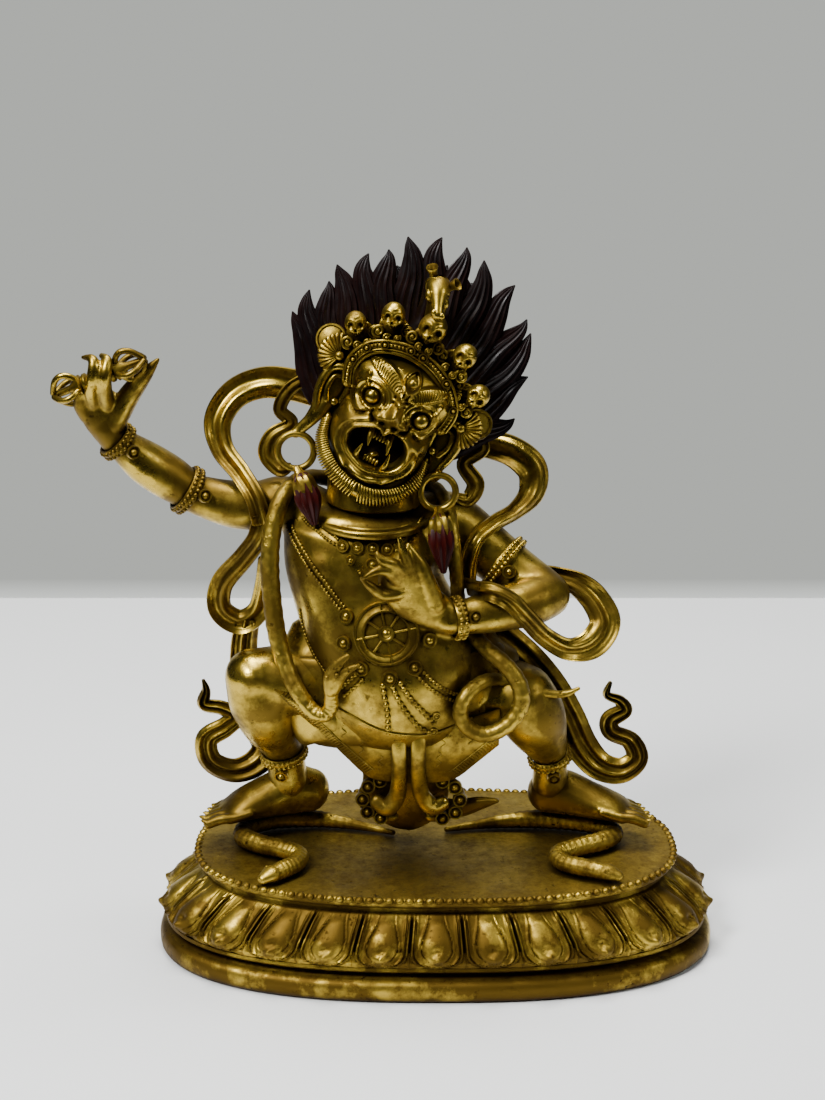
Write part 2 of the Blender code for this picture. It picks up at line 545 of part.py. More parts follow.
def make_figure(material):
    body = sweep(TORSO, round_section(18), 2, blunt=0.3)
    pieces = [
        sweep(RIGHT_ARM, round_section(10), 1),
        sweep(LEFT_ARM, round_section(10), 1),
        sweep(LEFT_FOREARM, round_section(10), 1),
        sweep(RIGHT_THIGH, round_section(10), 1),
        sweep(RIGHT_CALF, round_section(10), 1),
        sweep(LEFT_THIGH, round_section(10), 1),
        sweep(LEFT_CALF, round_section(10), 1),
        sweep(SKIRT, round_section(18), 1),
        sweep(RIGHT_PALM, round_section(8), 1),
        sweep(LEFT_PALM, round_section(8), 1),
        sweep(TIGER_TAIL, round_section(6), 1),
        vajra(),
    ]
    pieces += [ball(centre, radii) for centre, radii in MUSCLES]
    pieces += foot(RIGHT_FOOT, -3.2) + foot(LEFT_FOOT, 3.2)
    pieces += [sweep(leg, round_section(6), 1) for leg in TIGER_LEGS]
    pieces += [sweep(finger, round_section(6), 1) for finger in FINGERS]
    pieces += [sweep(fold, RIBBON_SECTION, 2, blunt=0.8) for fold in SCARF.values()]
    pieces.append(sweep(GARLAND_SNAKE, round_section(7), 1))
    for centre, radius, direction, wire in BANDS:
        pieces.append(hoop(centre, radius, wire, square_to(direction)))
    centre, radius, direction, wire = COLLAR
    pieces.append(hoop(centre, radius, wire, square_to(direction), steps=20))
    centre, radius, direction, thick = WHEEL
    turn = square_to(direction)
    pieces.append(ball(centre, (radius, thick, radius), 16, 6, turn))
    return cast_as_one("figure", body, [("UNION", pieces)], FIGURE_FACES_KEPT, material)


# The head. It is drawn in its own axes: right of the face, forwards and up, from its centre.

HEAD_CENTRE = Vector((-11.5, -2, 112))
HEAD_ROLL = 27
FACE_RADII = (11.4, 12.6, 16.8)
FOREHEAD_RADII = (12.4, 12.0, 11.5)
EYES = ((-6.3, 10.6, 4.8), (6.3, 10.6, 4.8), (0.7, 11.8, 11.6))
EYE_RADIUS = 1.9
MOUTH = (-0.8, -5.7)
MOUTH_RADII = (6.2, 4.6)
BEARD_RADII = (12.4, 14.6)
SKULL_CROWN = [(-17, 18.2), (-11.3, 23.5), (-1.7, 25), (8.3, 23.6), (15.5, 15.3)]
EARS = ((-14.8, 3.2), (12.0, 3.2))
FANS = ((-20.4, 11), (18.2, 9))
HOOPS = (((-33.7, -5, 103.8), 4.3), ((0.2, -7, 94.2), 4.2))
HOOP_WIRE = 0.9
TASSELS = (
    [(-33.4, -6.4, 99.8, 1.2), (-31.6, -8.6, 97.2, 1.9), (-30.4, -9.4, 93.4, 2.5), (-29.4, -9.6, 88.2, 0.7)],
    [(0.2, -9, 90.6, 1.2), (0.6, -11.8, 88, 1.7), (1, -13.2, 83.4, 2.3), (1.4, -13.6, 77, 0.7)],
)
# The tips of the flaming hair, from the statue's right round to its left
HAIR_TIPS = [(-33.3, 136.5), (-30.4, 141.2), (-26.5, 143), (-22.5, 147.3), (-16.4, 149.7), (-12.4, 150.6),
             (-5.8, 153.5), (0.8, 153.5), (6, 151.4), (12, 147.6), (18.1, 142.4), (20.6, 134.8),
             (23, 130), (21.6, 120.6), (18.4, 111)]
HAIR_ROOT_RADIUS = 12.0
HAIR_FAN = (-112, 104)
# Each layer of locks: how far back its tips are, their reach and the half width of a lock.
HAIR_LAYERS = ((2.0, 1.0, 3.4), (8.0, 0.94, 3.6), (12.5, 0.80, 3.8))
CROWN_RIBBONS = (
    [(-29.6, 0.6, 121, 1.4, 0.9, 0), (-35, 1, 117.8, 1.7, 0.9, 0), (-37.7, 1, 112.8, 1.7, 0.9, 0),
     (-35, 1, 109.4, 1.7, 0.9, 0), (-39.6, 1, 106.2, 2, 0.9, 0), (-41, 1, 101.8, 2.2, 0.9, 0),
     (-38, 0, 98.2, 1.9, 0.9, 0), (-35.4, -2.4, 99.4, 1.2, 0.8, 0)],
    [(9, 2, 107, 1.6, 0.9, 0), (11, 1.4, 103, 1.8, 0.9, 0), (6.6, 1, 99.4, 1.9, 0.9, 0),
     (9.4, 0.6, 94.4, 2.2, 0.9, 0), (7.6, 0.4, 90.6, 2, 0.9, 0), (4.6, -1, 91.6, 1.2, 0.8, 0)],
)


def head_turn():
    roll = math.radians(HEAD_ROLL)
    return Matrix((
        (math.cos(roll), 0, math.sin(roll)),
        (0, 1, 0),
        (-math.sin(roll), 0, math.cos(roll)),
    ))


def head_point(right, forwards, up):
    """A point drawn in the head's own axes, in the figure's drawing."""
    return HEAD_CENTRE + head_turn() @ Vector((right, -forwards, up))


def in_head(rows):
    return [(*head_point(*row[:3]), *row[3:]) for row in rows]


def head_ball(right, forwards, up, radii, sides=8, stacks=5):
    return ball(head_point(right, forwards, up), radii, sides, stacks, head_turn())


def lock(tip, root_angle, layer):
    """One flame of hair, from the scalp to its tip, bowed outwards on its way."""
    back, reach, wide = layer
    a = math.radians(root_angle)
    root = head_point(math.sin(a) * HAIR_ROOT_RADIUS, -2, math.cos(a) * HAIR_ROOT_RADIUS * 1.3)
    root.y += back * 0.4
    end = HEAD_CENTRE + Vector((tip[0] - HEAD_CENTRE.x, back - HEAD_CENTRE.y, tip[1] - HEAD_CENTRE.z)) * reach
    end.y = back
    bow = head_point(math.sin(a), 0, math.cos(a)) - HEAD_CENTRE
    length = (end - root).length
    rows = []
    for share, breadth in ((0, 1.15), (0.35, 1.2), (0.68, 0.8), (0.97, 0.12)):
        spot = root.lerp(end, share) + bow * length * 0.30 * share * (1 - share)
        rows.append((*spot, wide * breadth, wide * 0.8 * breadth + 0.2))
    return sweep(rows, round_section(6), 1)


def hair():
    """Three layers of locks over a solid core."""
    last = len(HAIR_TIPS) - 1
    pieces = [head_ball(0, -6.5, 10, (21, 7.5, 24), 12, 8)]
    for number, layer in enumerate(HAIR_LAYERS):
        for i in range(last + 1 - number):
            before = HAIR_TIPS[i]
            after = HAIR_TIPS[min(i + 1, last)]
            share = 0.5 * number
            tip = [b + (c - b) * min(share, 0.5) for b, c in zip(before, after)]
            place = min((i + share) / last, 1)
            pieces.append(lock(tip, HAIR_FAN[0] + (HAIR_FAN[1] - HAIR_FAN[0]) * place, layer))
    return pieces


def crown():
    """The tiara's band, five leaves with a skull on each, and an animal's head on the middle one."""
    band = []
    for i in range(9):
        a = math.radians(2 + 176 * i / 8)
        band.append((13.6 * math.cos(a), 4.4 + 3.4 * math.sin(a), 2 + 16.8 * math.sin(a), 1.6, 2.4))
    pieces = [sweep(in_head(band), round_section(6), 1)]
    for right, up in SKULL_CROWN:
        forwards = 9.4 - 0.012 * right * right
        pieces.append(sweep(in_head([
            (right * 0.62, 2, up * 0.62, 3.6), (right * 0.86, forwards - 1.4, up * 0.86, 2.8),
            (right * 0.98, forwards - 0.4, up * 0.98, 2.2)]), round_section(6), 1))
        pieces.append(head_ball(right, forwards, up, (2.9, 2.7, 2.9)))
    pieces.append(sweep(in_head([(-1, 2, 27, 2.4), (-1, 6, 32.6, 2.2), (-0.8, 9, 33.6, 1.7),
                                 (-0.4, 11.4, 30.6, 1.2)]), round_section(7), 1))
    for side in (-1, 1):
        pieces.append(sweep(in_head([(-1 + side, 6.4, 33, 0.9), (-1 + 3.2 * side, 7, 36.2, 0.9)]),
                            round_section(5), 1))
    for right, up in FANS:
        pieces.append(head_ball(right, 2.4, up, (5.2, 2, 4.8), 10, 5))
    pieces += [sweep(ribbon, RIBBON_SECTION, 1, blunt=0.8) for ribbon in CROWN_RIBBONS]
    return pieces


def face():
    pieces = [head_ball(*eye, (EYE_RADIUS, EYE_RADIUS * 0.8, EYE_RADIUS)) for eye in EYES]
    for side in (-1, 1):
        brow = [(9.0 * side, 9.2, 11.4, 1.0), (5.4 * side, 11.0, 9.8, 1.7), (1.6 * side, 12.2, 7.6, 1.5)]
        pieces.append(sweep(in_head(brow), round_section(6), 1))
        fold = [(0.6 * side, 12.6, 2.8, 1.9), (4 * side, 11.6, 1, 2), (7.8 * side, 9.4, -3, 2.6),
                (8 * side, 8.6, -8, 2.2)]
        pieces.append(sweep(in_head(fold), round_section(6), 1))
    pieces.append(sweep(in_head([(0, 11.4, 8, 1.6), (0.3, 13.2, 5.2, 2), (0.4, 13.8, 3.2, 2.6)]),
                        round_section(6), 1))
    lip = []
    for i in range(11):
        a = math.tau * i / 10
        across = MOUTH[0] + MOUTH_RADII[0] * math.cos(a)
        lip.append((across, 11.6 - 0.03 * across ** 2, MOUTH[1] + MOUTH_RADII[1] * math.sin(a), 1.1))
    pieces.append(sweep(in_head(lip), round_section(6), 1))
    pieces.append(head_ball(0, 8.6, -13.4, (6, 3.6, 3.2)))
    beard = []
    for i in range(9):
        a = math.radians(170 + 200 * i / 8)
        beard.append((BEARD_RADII[0] * math.cos(a), 5.4 + 2.6 * abs(math.sin(a)),
                      -3 + BEARD_RADII[1] * math.sin(a), 1.3, 2.2))
    pieces.append(sweep(in_head(beard), round_section(6), 1))
    return pieces


def mouth_hollow():
    radii = (MOUTH_RADII[0] - 0.4, 5, MOUTH_RADII[1] - 0.4)
    return head_ball(MOUTH[0], 12.5, MOUTH[1], radii, 12, 8)


def fangs():
    """Two fangs down from the upper lip and two up from the lower one."""
    pieces = []
    for across in (-2.6, 1.6):
        pieces.append(sweep(in_head([(MOUTH[0] + across, 9.8, MOUTH[1] + 4.6, 0.9),
                                     (MOUTH[0] + across, 10.6, MOUTH[1] + 0.4, 0.5)]), round_section(5), 1))
        pieces.append(sweep(in_head([(MOUTH[0] + across * 1.6, 9, MOUTH[1] - 4.6, 0.9),
                                     (MOUTH[0] + across * 1.5, 10, MOUTH[1] - 1.2, 0.5)]), round_section(5), 1))
    return pieces


def ears():
    """Long ears whose lobes are drawn down to the hoops, each hoop with a tassel."""
    pieces = []
    for (right, up), (centre, radius), tassel, side in zip(EARS, HOOPS, TASSELS, (-1, 1)):
        rows = in_head([(right, 2, up + 4.8, 2.4, 1.8), (right + 0.6 * side, 2.4, up, 3.0, 2.2),
                        (right + 0.8 * side, 2.6, up - 5.6, 2, 1.7)])
        rows.append((centre[0], centre[1] + 0.6, centre[2] + radius, 1.4, 1.3))
        pieces.append(sweep(rows, round_section(8), 2))
        pieces.append(hoop(centre, radius, HOOP_WIRE, Matrix.Identity(3)))
        pieces.append(sweep(tassel, round_section(8), 1))
    return pieces


def make_head(material):
    neck = NECK_RADIUS / UNIT
    body = ball(HEAD_CENTRE, FACE_RADII, 16, 10, head_turn())
    low = COLLAR_TOP + (SEAT_GAP + CAST_GRAIN) / UNIT + neck * NECK_BLUNT
    pieces = [sweep([(-15.4, 0.5, low, neck), (-14.6, 0.4, 106, neck * 0.95)],
                    round_section(14), 1, blunt=NECK_BLUNT),
              head_ball(0, 0.2, 6.5, FOREHEAD_RADII, 16, 8)]
    pieces += face() + ears() + crown() + hair()
    stages = [("UNION", pieces), ("DIFFERENCE", [mouth_hollow()]), ("UNION", fangs())]
    return cast_as_one("head", body, stages, HEAD_FACES_KEPT, material)


def clear_scene():
    for old in list(bpy.data.objects):
        bpy.data.objects.remove(old)


def main():
    clear_scene()
    make_lotus_base(metal("base_gilding", BASE_GILT, 0.35))
    make_foot_snake("right_foot_snake", RIGHT_FOOT_SNAKE, metal("right_snake_gilding", RIGHT_SNAKE_GILT, 0.4))
    make_foot_snake("left_foot_snake", LEFT_FOOT_SNAKE, metal("left_snake_gilding", LEFT_SNAKE_GILT, 0.4))
    make_figure(metal("figure_gilding", FIGURE_GILT, 0.28))
    make_head(metal("head_gilding", HEAD_GILT, 0.28))


main()
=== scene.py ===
"""A gilt bronze wrathful deity on an oval lotus base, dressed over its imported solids.

Shapes are drawn in millimetres above the base's top plate: x to the viewer's right, y away
from the viewer, z up. add_mesh() carries them to the frame's metres.
"""

import math

import bmesh
import bpy
import numpy as np
from mathutils import Matrix, Vector
from mathutils.bvhtree import BVHTree


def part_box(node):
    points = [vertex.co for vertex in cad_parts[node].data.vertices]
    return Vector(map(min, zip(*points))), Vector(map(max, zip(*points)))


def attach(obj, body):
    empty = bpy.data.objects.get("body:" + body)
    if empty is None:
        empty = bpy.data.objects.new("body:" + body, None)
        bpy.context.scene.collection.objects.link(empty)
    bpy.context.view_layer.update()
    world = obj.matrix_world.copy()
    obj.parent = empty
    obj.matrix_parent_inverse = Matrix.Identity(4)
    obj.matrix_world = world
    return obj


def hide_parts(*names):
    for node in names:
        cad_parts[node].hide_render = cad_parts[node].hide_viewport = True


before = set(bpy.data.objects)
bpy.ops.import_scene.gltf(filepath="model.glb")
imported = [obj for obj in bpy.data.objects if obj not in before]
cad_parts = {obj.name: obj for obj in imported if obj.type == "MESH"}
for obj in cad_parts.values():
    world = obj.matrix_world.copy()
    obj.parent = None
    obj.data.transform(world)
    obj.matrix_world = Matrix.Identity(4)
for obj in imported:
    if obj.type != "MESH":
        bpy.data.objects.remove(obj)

bl_info = {
    "name": "Gilt Wrathful Deity",
    "version": (1, 0, 0),
    "blender": (4, 5, 0),
    "location": "View3D > Sidebar > Statue",
    "description": "Builds a gilt bronze deity's carving, finishes and studio over its packed solids",
    "category": "Object",
}

MM = 0.001
# The height of the base's top plate, in metres
TOP = Vector(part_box("lotus_base")[1]).z

# Shells. A shell is its points, as rows of x, y and z, and a list of arrays of faces.


def join(shells):
    """Several shells as one."""
    points, faces, start = [], [], 0
    for some, groups in shells:
        points.append(some)
        faces += [group + start for group in groups]
        start += len(some)
    return np.concatenate(points), faces


def skin(rings, loop=False):
    """A closed shell over rings of equal count. Its ends get a middle point, unless it is a loop."""
    rings = np.asarray(rings, float)
    count, sides = rings.shape[:2]
    here = np.arange(sides)
    there = (here + 1) % sides
    faces = []
    for r in range(count if loop else count - 1):
        low, high = r * sides, (r + 1) % count * sides
        faces.append(np.stack([low + here, low + there, high + there, high + here], 1))
    faces = [np.concatenate(faces)]
    points = rings.reshape(-1, 3)
    if loop:
        return points, faces
    total = count * sides
    points = np.concatenate([points, rings[:1].mean(1), rings[-1:].mean(1)])
    faces.append(np.stack([np.full(sides, total), there, here], 1))
    faces.append(np.stack([np.full(sides, total + 1), total - sides + here, total - sides + there], 1))
    return points, faces


def spline(rows, per_span):
    """Rows of numbers, smoothed by a Catmull-Rom curve through all of them."""
    rows = np.asarray(rows, float)
    padded = np.concatenate([rows[:1], rows, rows[-1:]])
    t = (np.arange(per_span) / per_span)[:, None]
    spans = []
    for a, b, c, d in zip(padded, padded[1:], padded[2:], padded[3:]):
        spans.append(0.5 * (2 * b + (c - a) * t + (2 * a - 5 * b + 4 * c - d) * t ** 2
                            + (3 * b - a - 3 * c + d) * t ** 3))
    return np.concatenate(spans + [rows[-1:]])


def circle(sides):
    """A round section, as points of a unit circle."""
    turn = np.arange(sides) * math.tau / sides
    return np.stack([np.cos(turn), np.sin(turn)], 1)


def fluted(sides, flutes, depth):
    """A round section with lengthwise grooves."""
    turn = np.arange(sides) * math.tau / sides
    return circle(sides) * (1 - depth * (0.5 - 0.5 * np.cos(flutes * turn)))[:, None]


def combed(sides, hairs, depth):
    """A round section with sharp lengthwise ridges."""
    turn = np.arange(sides) * math.tau / sides
    return circle(sides) * (1 - depth * np.abs(np.sin(hairs * turn / 2)))[:, None]


def band_section(folds, relief=0.8, samples=27):
    """A flat band's section: rolled edges with a line beside them, and long folds that its back follows."""
    u = np.linspace(1, -1, samples)
    wave = relief * np.cos(math.pi * folds * (u + 1)) * (1 - 0.3 * np.abs(u))
    roll = 0.35 * np.exp(-((np.abs(u) - 0.93) / 0.07) ** 2)
    thick = np.sqrt(np.clip(1 - np.abs(u) ** 6, 0, 1))
    line = 0.22 * np.exp(-((np.abs(u) - 0.72) / 0.06) ** 2)
    front = np.stack([u, wave + (0.48 + roll - line) * thick], 1)
    back = np.stack([u[::-1], (wave - (0.48 + roll) * thick)[::-1]], 1)
    return np.concatenate([front, back[1:-1]])


def normalised(vectors):
    return vectors / np.maximum(np.linalg.norm(vectors, axis=-1, keepdims=True), 1e-9)


def full_rows(rows):
    """Rows of x, y, z, half width, half depth and roll, with a missing depth equal to the width."""
    return [tuple(r) + (r[3],) * (len(r) < 5) + (0,) * (len(r) < 6) for r in rows]


def sweep(rows, section=None, per_span=6, facing=(0, -1, 0), blunt=1.0, cap=4, wave=None):
    """A closed shell along rows of x, y, z, half width, half depth and roll in degrees.

    facing is the way its depth points. blunt is how round its ends are, and wave may change its
    rows once they are smooth.
    """
    section = circle(14) if section is None else section
    path = spline(full_rows(rows), per_span)
    if wave:
        path = wave(path)
    centre = path[:, :3]
    along = normalised(np.gradient(centre, axis=0))
    facing = np.asarray(facing, float)
    depth = facing - along * (along @ facing)[:, None]
    weak = np.linalg.norm(depth, axis=1) < 0.12
    depth[weak] = np.cross((1, 0, 0), along[weak])
    depth = normalised(depth)
    roll = np.radians(path[:, 5:6])
    depth = depth * np.cos(roll) + np.cross(along, depth) * np.sin(roll)
    across = np.cross(depth, along)
    ends = [math.sin(math.pi / 2 * (k + 1) / (cap + 1)) for k in range(cap)]
    index = np.r_[np.zeros(cap, int), np.arange(len(path)), np.full(cap, len(path) - 1)]
    reach = np.r_[[-e for e in reversed(ends)], np.zeros(len(path)), ends]
    size = np.sqrt(1 - reach ** 2)[:, None]
    least = np.minimum(path[index, 3], path[index, 4])[:, None] * blunt
    middle = centre[index] + along[index] * reach[:, None] * least
    wide, deep = path[index, 3:4] * size, path[index, 4:5] * size
    u, v = section[:, 0], section[:, 1]
    rings = (middle[:, None] + (across[index] * wide)[:, None] * u[None, :, None]
             + (depth[index] * deep)[:, None] * v[None, :, None])
    return skin(rings)


def ball(centre, radii, sides=24, stacks=16, turn=None, relief=None):
    """An ellipsoid. turn's columns are its axes, and relief pushes its own unit points outwards."""
    lean = (np.arange(1, stacks) / stacks - 0.5) * math.pi
    ring = circle(sides)
    unit = np.concatenate([
        np.concatenate([ring[None] * np.cos(lean)[:, None, None],
                        np.repeat(np.sin(lean)[:, None, None], sides, 1)], 2)
    ])
    points = unit * np.asarray(radii, float)
    if relief:
        points = points + relief(unit)
    turn = np.asarray(turn if turn is not None else Matrix.Identity(3), float)
    return skin(points @ turn.T + np.asarray(centre, float))


def hoop(centre, radius, wire, turn, sides=12, steps=48):
    """A closed ring of round wire in turn's XZ plane. wire is its two half thicknesses."""
    wide, deep = wire if isinstance(wire, tuple) else (wire, wire)
    angle = np.arange(steps) * math.tau / steps
    out = np.stack([np.cos(angle), np.zeros(steps), np.sin(angle)], 1)
    section = circle(sides)
    rings = (out[:, None] * (radius + wide * section[None, :, :1])
             + np.array([0, deep, 0])[None, None] * section[None, :, 1:])
    return skin(rings @ np.asarray(turn, float).T + np.asarray(centre, float), loop=True)


def turned(profile, centre, turn, sides=28):
    """A shell turned about turn's Y axis. profile is rows of radius and how far forwards."""
    ring = circle(sides)
    rings = [np.stack([ring[:, 0] * r, np.full(sides, -out), ring[:, 1] * r], 1) for r, out in profile]
    return skin(np.asarray(rings) @ np.asarray(turn, float).T + np.asarray(centre, float))


def square_to(direction):
    """A turn whose forward side, -Y, faces direction."""
    return np.array(Vector((0, -1, 0)).rotation_difference(Vector(direction)).to_matrix())


def even_steps(path, pitch):
    """Points along a path, an even pitch apart."""
    path = np.asarray(path, float)
    length = np.r_[0, np.cumsum(np.linalg.norm(np.diff(path, axis=0), axis=1))]
    count = max(2, int(length[-1] / pitch) + 1)
    want = np.linspace(0, length[-1], count)
    return np.stack([np.interp(want, length, path[:, k]) for k in range(path.shape[1])], 1)


def ico(level):
    """A unit sphere of even triangles."""
    shape = bmesh.new()
    bmesh.ops.create_icosphere(shape, subdivisions=level, radius=1)
    points = np.array([v.co for v in shape.verts])
    faces = np.array([[v.index for v in f.verts] for f in shape.faces])
    shape.free()
    return points, faces


BEAD = ico(2)


def beads(path, radius, gap=0.06):
    """A string of beads along a path, nearly touching."""
    return join([(BEAD[0] * radius + at, [BEAD[1]]) for at in even_steps(path, radius * 2 * (1 + gap))])


# Pieces


def add_mesh(name, shell):
    """A shell in figure millimetres becomes a mesh object in the frame's metres."""
    points, groups = shell
    mesh = bpy.data.meshes.new(name)
    faces = [face for group in groups for face in group.tolist()]
    mesh.from_pydata((points * MM + (0, 0, TOP)).tolist(), [], faces)
    mesh.update()
    made = bpy.data.objects.new(name, mesh)
    bpy.context.scene.collection.objects.link(made)
    return made


def applied(piece):
    """The piece with its modifiers applied."""
    seen = piece.evaluated_get(bpy.context.evaluated_depsgraph_get())
    mesh = bpy.data.meshes.new_from_object(seen)
    piece.modifiers.clear()
    old = piece.data
    piece.data = mesh
    bpy.data.meshes.remove(old)
    return piece


def fleshed(name, shells, grain, rounds):
    """One soft skin over shells, with its creases eased by rounds of smoothing."""
    piece = add_mesh(name, join(shells))
    remesh = piece.modifiers.new("skin", "REMESH")
    remesh.mode = "VOXEL"
    remesh.voxel_size = grain * MM
    ease = piece.modifiers.new("ease", "SMOOTH")
    ease.iterations = rounds
    ease.factor = 0.5
    return applied(piece)


def united(name, parts):
    """Parts, which are shells or objects, cast together as one closed body."""
    parts = [part if isinstance(part, bpy.types.Object) else add_mesh(name, part) for part in parts]
    body, rest = parts[0], parts[1:]
    if not rest:
        return body
    bag = bpy.data.collections.new(name)
    for part in rest:
        bag.objects.link(part)
    union = body.modifiers.new("one_casting", "BOOLEAN")
    union.operation = "UNION"
    union.operand_type = "COLLECTION"
    union.collection = bag
    union.solver = "MANIFOLD"
    applied(body)
    for part in rest:
        bpy.data.meshes.remove(part.data)
    bpy.data.collections.remove(bag)
    body.name = body.data.name = name
    return body


def finish_piece(piece, node, material, sharp=50):
    """The piece gets its material, rides the frame's root and stands in for part of a node."""
    piece.data.materials.clear()
    piece.data.materials.append(material)
    piece.data.shade_smooth()
    piece.data.set_sharp_from_angle(angle=math.radians(sharp))
    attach(piece, "root")
    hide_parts(node)
    return piece


# Finishes

# How fine each pattern of the gilding is, in waves to a metre
FILM_WAVES = 70
SPECK_WAVES = 700
BLOT_WAVES = 120
DUST_WAVES = 420
TINT_WAVES = 45
SHEEN_WAVES = 260
PIT_WAVES = 900
DENT_WAVES = 150
PIT_DEPTH = 0.00025
# How far the ambient occlusion looks for the recesses that it darkens with patina and painted shade, in
# metres
RECESS_REACH = 0.005


def node_graph(name):
    """A new material, its node tree and its surface node."""
    material = bpy.data.materials.new(name)
    material.use_nodes = True
    tree = material.node_tree
    return material, tree, tree.nodes["Principled BSDF"]


def noise(tree, coordinates, scale, detail=4.0, rough=0.55):
    made = tree.nodes.new("ShaderNodeTexNoise")
    made.inputs["Scale"].default_value = scale
    made.inputs["Detail"].default_value = detail
    made.inputs["Roughness"].default_value = rough
    tree.links.new(coordinates, made.inputs["Vector"])
    return made.outputs["Fac"]


def ranged(tree, value, low, high, to_low=0.0, to_high=1.0):
    """A value carried from one range to another, and held inside it."""
    made = tree.nodes.new("ShaderNodeMapRange")
    for socket, number in zip(made.inputs[1:5], (low, high, to_low, to_high)):
        socket.default_value = number
    tree.links.new(value, made.inputs[0])
    return made.outputs[0]


def combined(tree, operation, a, b):
    """Two values joined by a sum, product or the like, held between 0 and 1."""
    made = tree.nodes.new("ShaderNodeMath")
    made.operation = operation
    made.use_clamp = True
    for socket, value in zip(made.inputs, (a, b)):
        if isinstance(value, (int, float)):
            socket.default_value = value
        else:
            tree.links.new(value, socket)
    return made.outputs[0]


def mixed(tree, share, a, b):
    """Two colours mixed by a share."""
    made = tree.nodes.new("ShaderNodeMix")
    made.data_type = "RGBA"
    tree.links.new(share, made.inputs["Factor"])
    for socket, value in zip((made.inputs[6], made.inputs[7]), (a, b)):
        if isinstance(value, tuple):
            socket.default_value = (*value, 1)
        else:
            tree.links.new(value, socket)
    return made.outputs[2]


def gilt(name, gold, film, patina_stain_and_shade, worn=0.7, stain=0.5, roughness=0.20, pits=0.25, flat_dirt=0.0):
    """Fire gilding: bright on what stands out, darkened in the recesses and creases partly by patina and
    partly by painted shade, filmed, stained and pitted.

    worn is how much of it the brown film covers, and flat_dirt is how dull its level tops are.
    """
    material, tree, shader = node_graph(name)
    place = tree.nodes.new("ShaderNodeTexCoord").outputs["Object"]
    # The ambient occlusion and pointiness masks paint shade into the colour: they darken recesses and creases
    # towards the patina colour, partly for the real patina in the hollows and partly as painted shade.
    hollow = tree.nodes.new("ShaderNodeAmbientOcclusion")
    hollow.samples = 8
    hollow.inputs["Distance"].default_value = RECESS_REACH
    recess_patina_and_shade = ranged(tree, hollow.outputs["AO"], 0.25, 0.90, 1.0, 0.0)
    shape = tree.nodes.new("ShaderNodeNewGeometry")
    groove = ranged(tree, shape.outputs["Pointiness"], 0.40, 0.485, 1.0, 0.0)
    cloud = noise(tree, place, FILM_WAVES, 7, 0.65)
    middle = 0.62 - 0.22 * worn
    filmed = ranged(tree, cloud, middle - 0.05, middle + 0.09)
    speck = ranged(tree, noise(tree, place, SPECK_WAVES, 3, 0.6), 0.60, 0.70)
    blots = ranged(tree, noise(tree, place, BLOT_WAVES, 4), 0.40, 0.62)
    spots = combined(tree, "MULTIPLY", speck, blots)
    spots = combined(tree, "MULTIPLY", spots, stain)
    film_share = combined(tree, "MULTIPLY", filmed, 0.45 + 0.5 * worn)
    if flat_dirt:
        level = tree.nodes.new("ShaderNodeSeparateXYZ")
        tree.links.new(shape.outputs["Normal"], level.inputs[0])
        top = ranged(tree, level.outputs["Z"], 0.90, 0.985)
        dust = noise(tree, place, DUST_WAVES, 6, 0.75)
        dirt = ranged(tree, dust, 0.36, 0.68, 0.40 * flat_dirt, flat_dirt)
        clear = ranged(tree, top, 0, 1, 1.0, 0.25)
        film_share = combined(tree, "ADD", combined(tree, "MULTIPLY", film_share, clear),
                              combined(tree, "MULTIPLY", top, dirt))
    # One darkening share: painted shade and patina in the recesses and creases, plus the stains.
    dark = combined(tree, "ADD", combined(tree, "MULTIPLY", recess_patina_and_shade, 0.9),
                    combined(tree, "MULTIPLY", groove, 0.55))
    dark = combined(tree, "ADD", dark, spots)
    tint = ranged(tree, noise(tree, place, TINT_WAVES, 3, 0.5), 0.35, 0.65)
    pale = tuple(min(1.0, c * k) for c, k in zip(gold, (1.12, 1.14, 1.20)))
    colour = mixed(tree, film_share, mixed(tree, tint, gold, pale), film)
    tree.links.new(mixed(tree, dark, colour, patina_stain_and_shade), shader.inputs["Base Color"])
    shader.inputs["Metallic"].default_value = 1.0
    dull = combined(tree, "ADD", film_share, dark)
    rough = ranged(tree, dull, 0, 1, roughness, roughness + 0.26)
    grain = ranged(tree, noise(tree, place, SHEEN_WAVES, 4, 0.6), 0.3, 0.7, 0.0, 0.12)
    tree.links.new(combined(tree, "ADD", rough, grain), shader.inputs["Roughness"])
    bump_node = tree.nodes.new("ShaderNodeBump")
    bump_node.inputs["Strength"].default_value = pits
    bump_node.inputs["Distance"].default_value = PIT_DEPTH
    fine = combined(tree, "ADD", combined(tree, "MULTIPLY", noise(tree, place, PIT_WAVES, 3, 0.6), 0.4),
                    combined(tree, "MULTIPLY", noise(tree, place, DENT_WAVES, 4, 0.6), 0.6))
    tree.links.new(combined(tree, "SUBTRACT", fine, spots), bump_node.inputs["Height"])
    tree.links.new(bump_node.outputs["Normal"], shader.inputs["Normal"])
    return material


def pigment(name, colour, worn, roughness=0.36):
    """Paint over the metal, thinner and redder on its ridges."""
    material, tree, shader = node_graph(name)
    place = tree.nodes.new("ShaderNodeTexCoord").outputs["Object"]
    edge = tree.nodes.new("ShaderNodeNewGeometry").outputs["Pointiness"]
    ridge = ranged(tree, edge, 0.52, 0.60)
    cloud = ranged(tree, noise(tree, place, 120, 4), 0.45, 0.7)
    share = combined(tree, "MULTIPLY", combined(tree, "ADD", ridge, cloud), 0.6)
    tree.links.new(mixed(tree, share, colour, worn), shader.inputs["Base Color"])
    rough = ranged(tree, noise(tree, place, 300, 3), 0.3, 0.7, roughness - 0.08, roughness + 0.12)
    tree.links.new(rough, shader.inputs["Roughness"])
    shader.inputs["Specular IOR Level"].default_value = 0.16
    return material


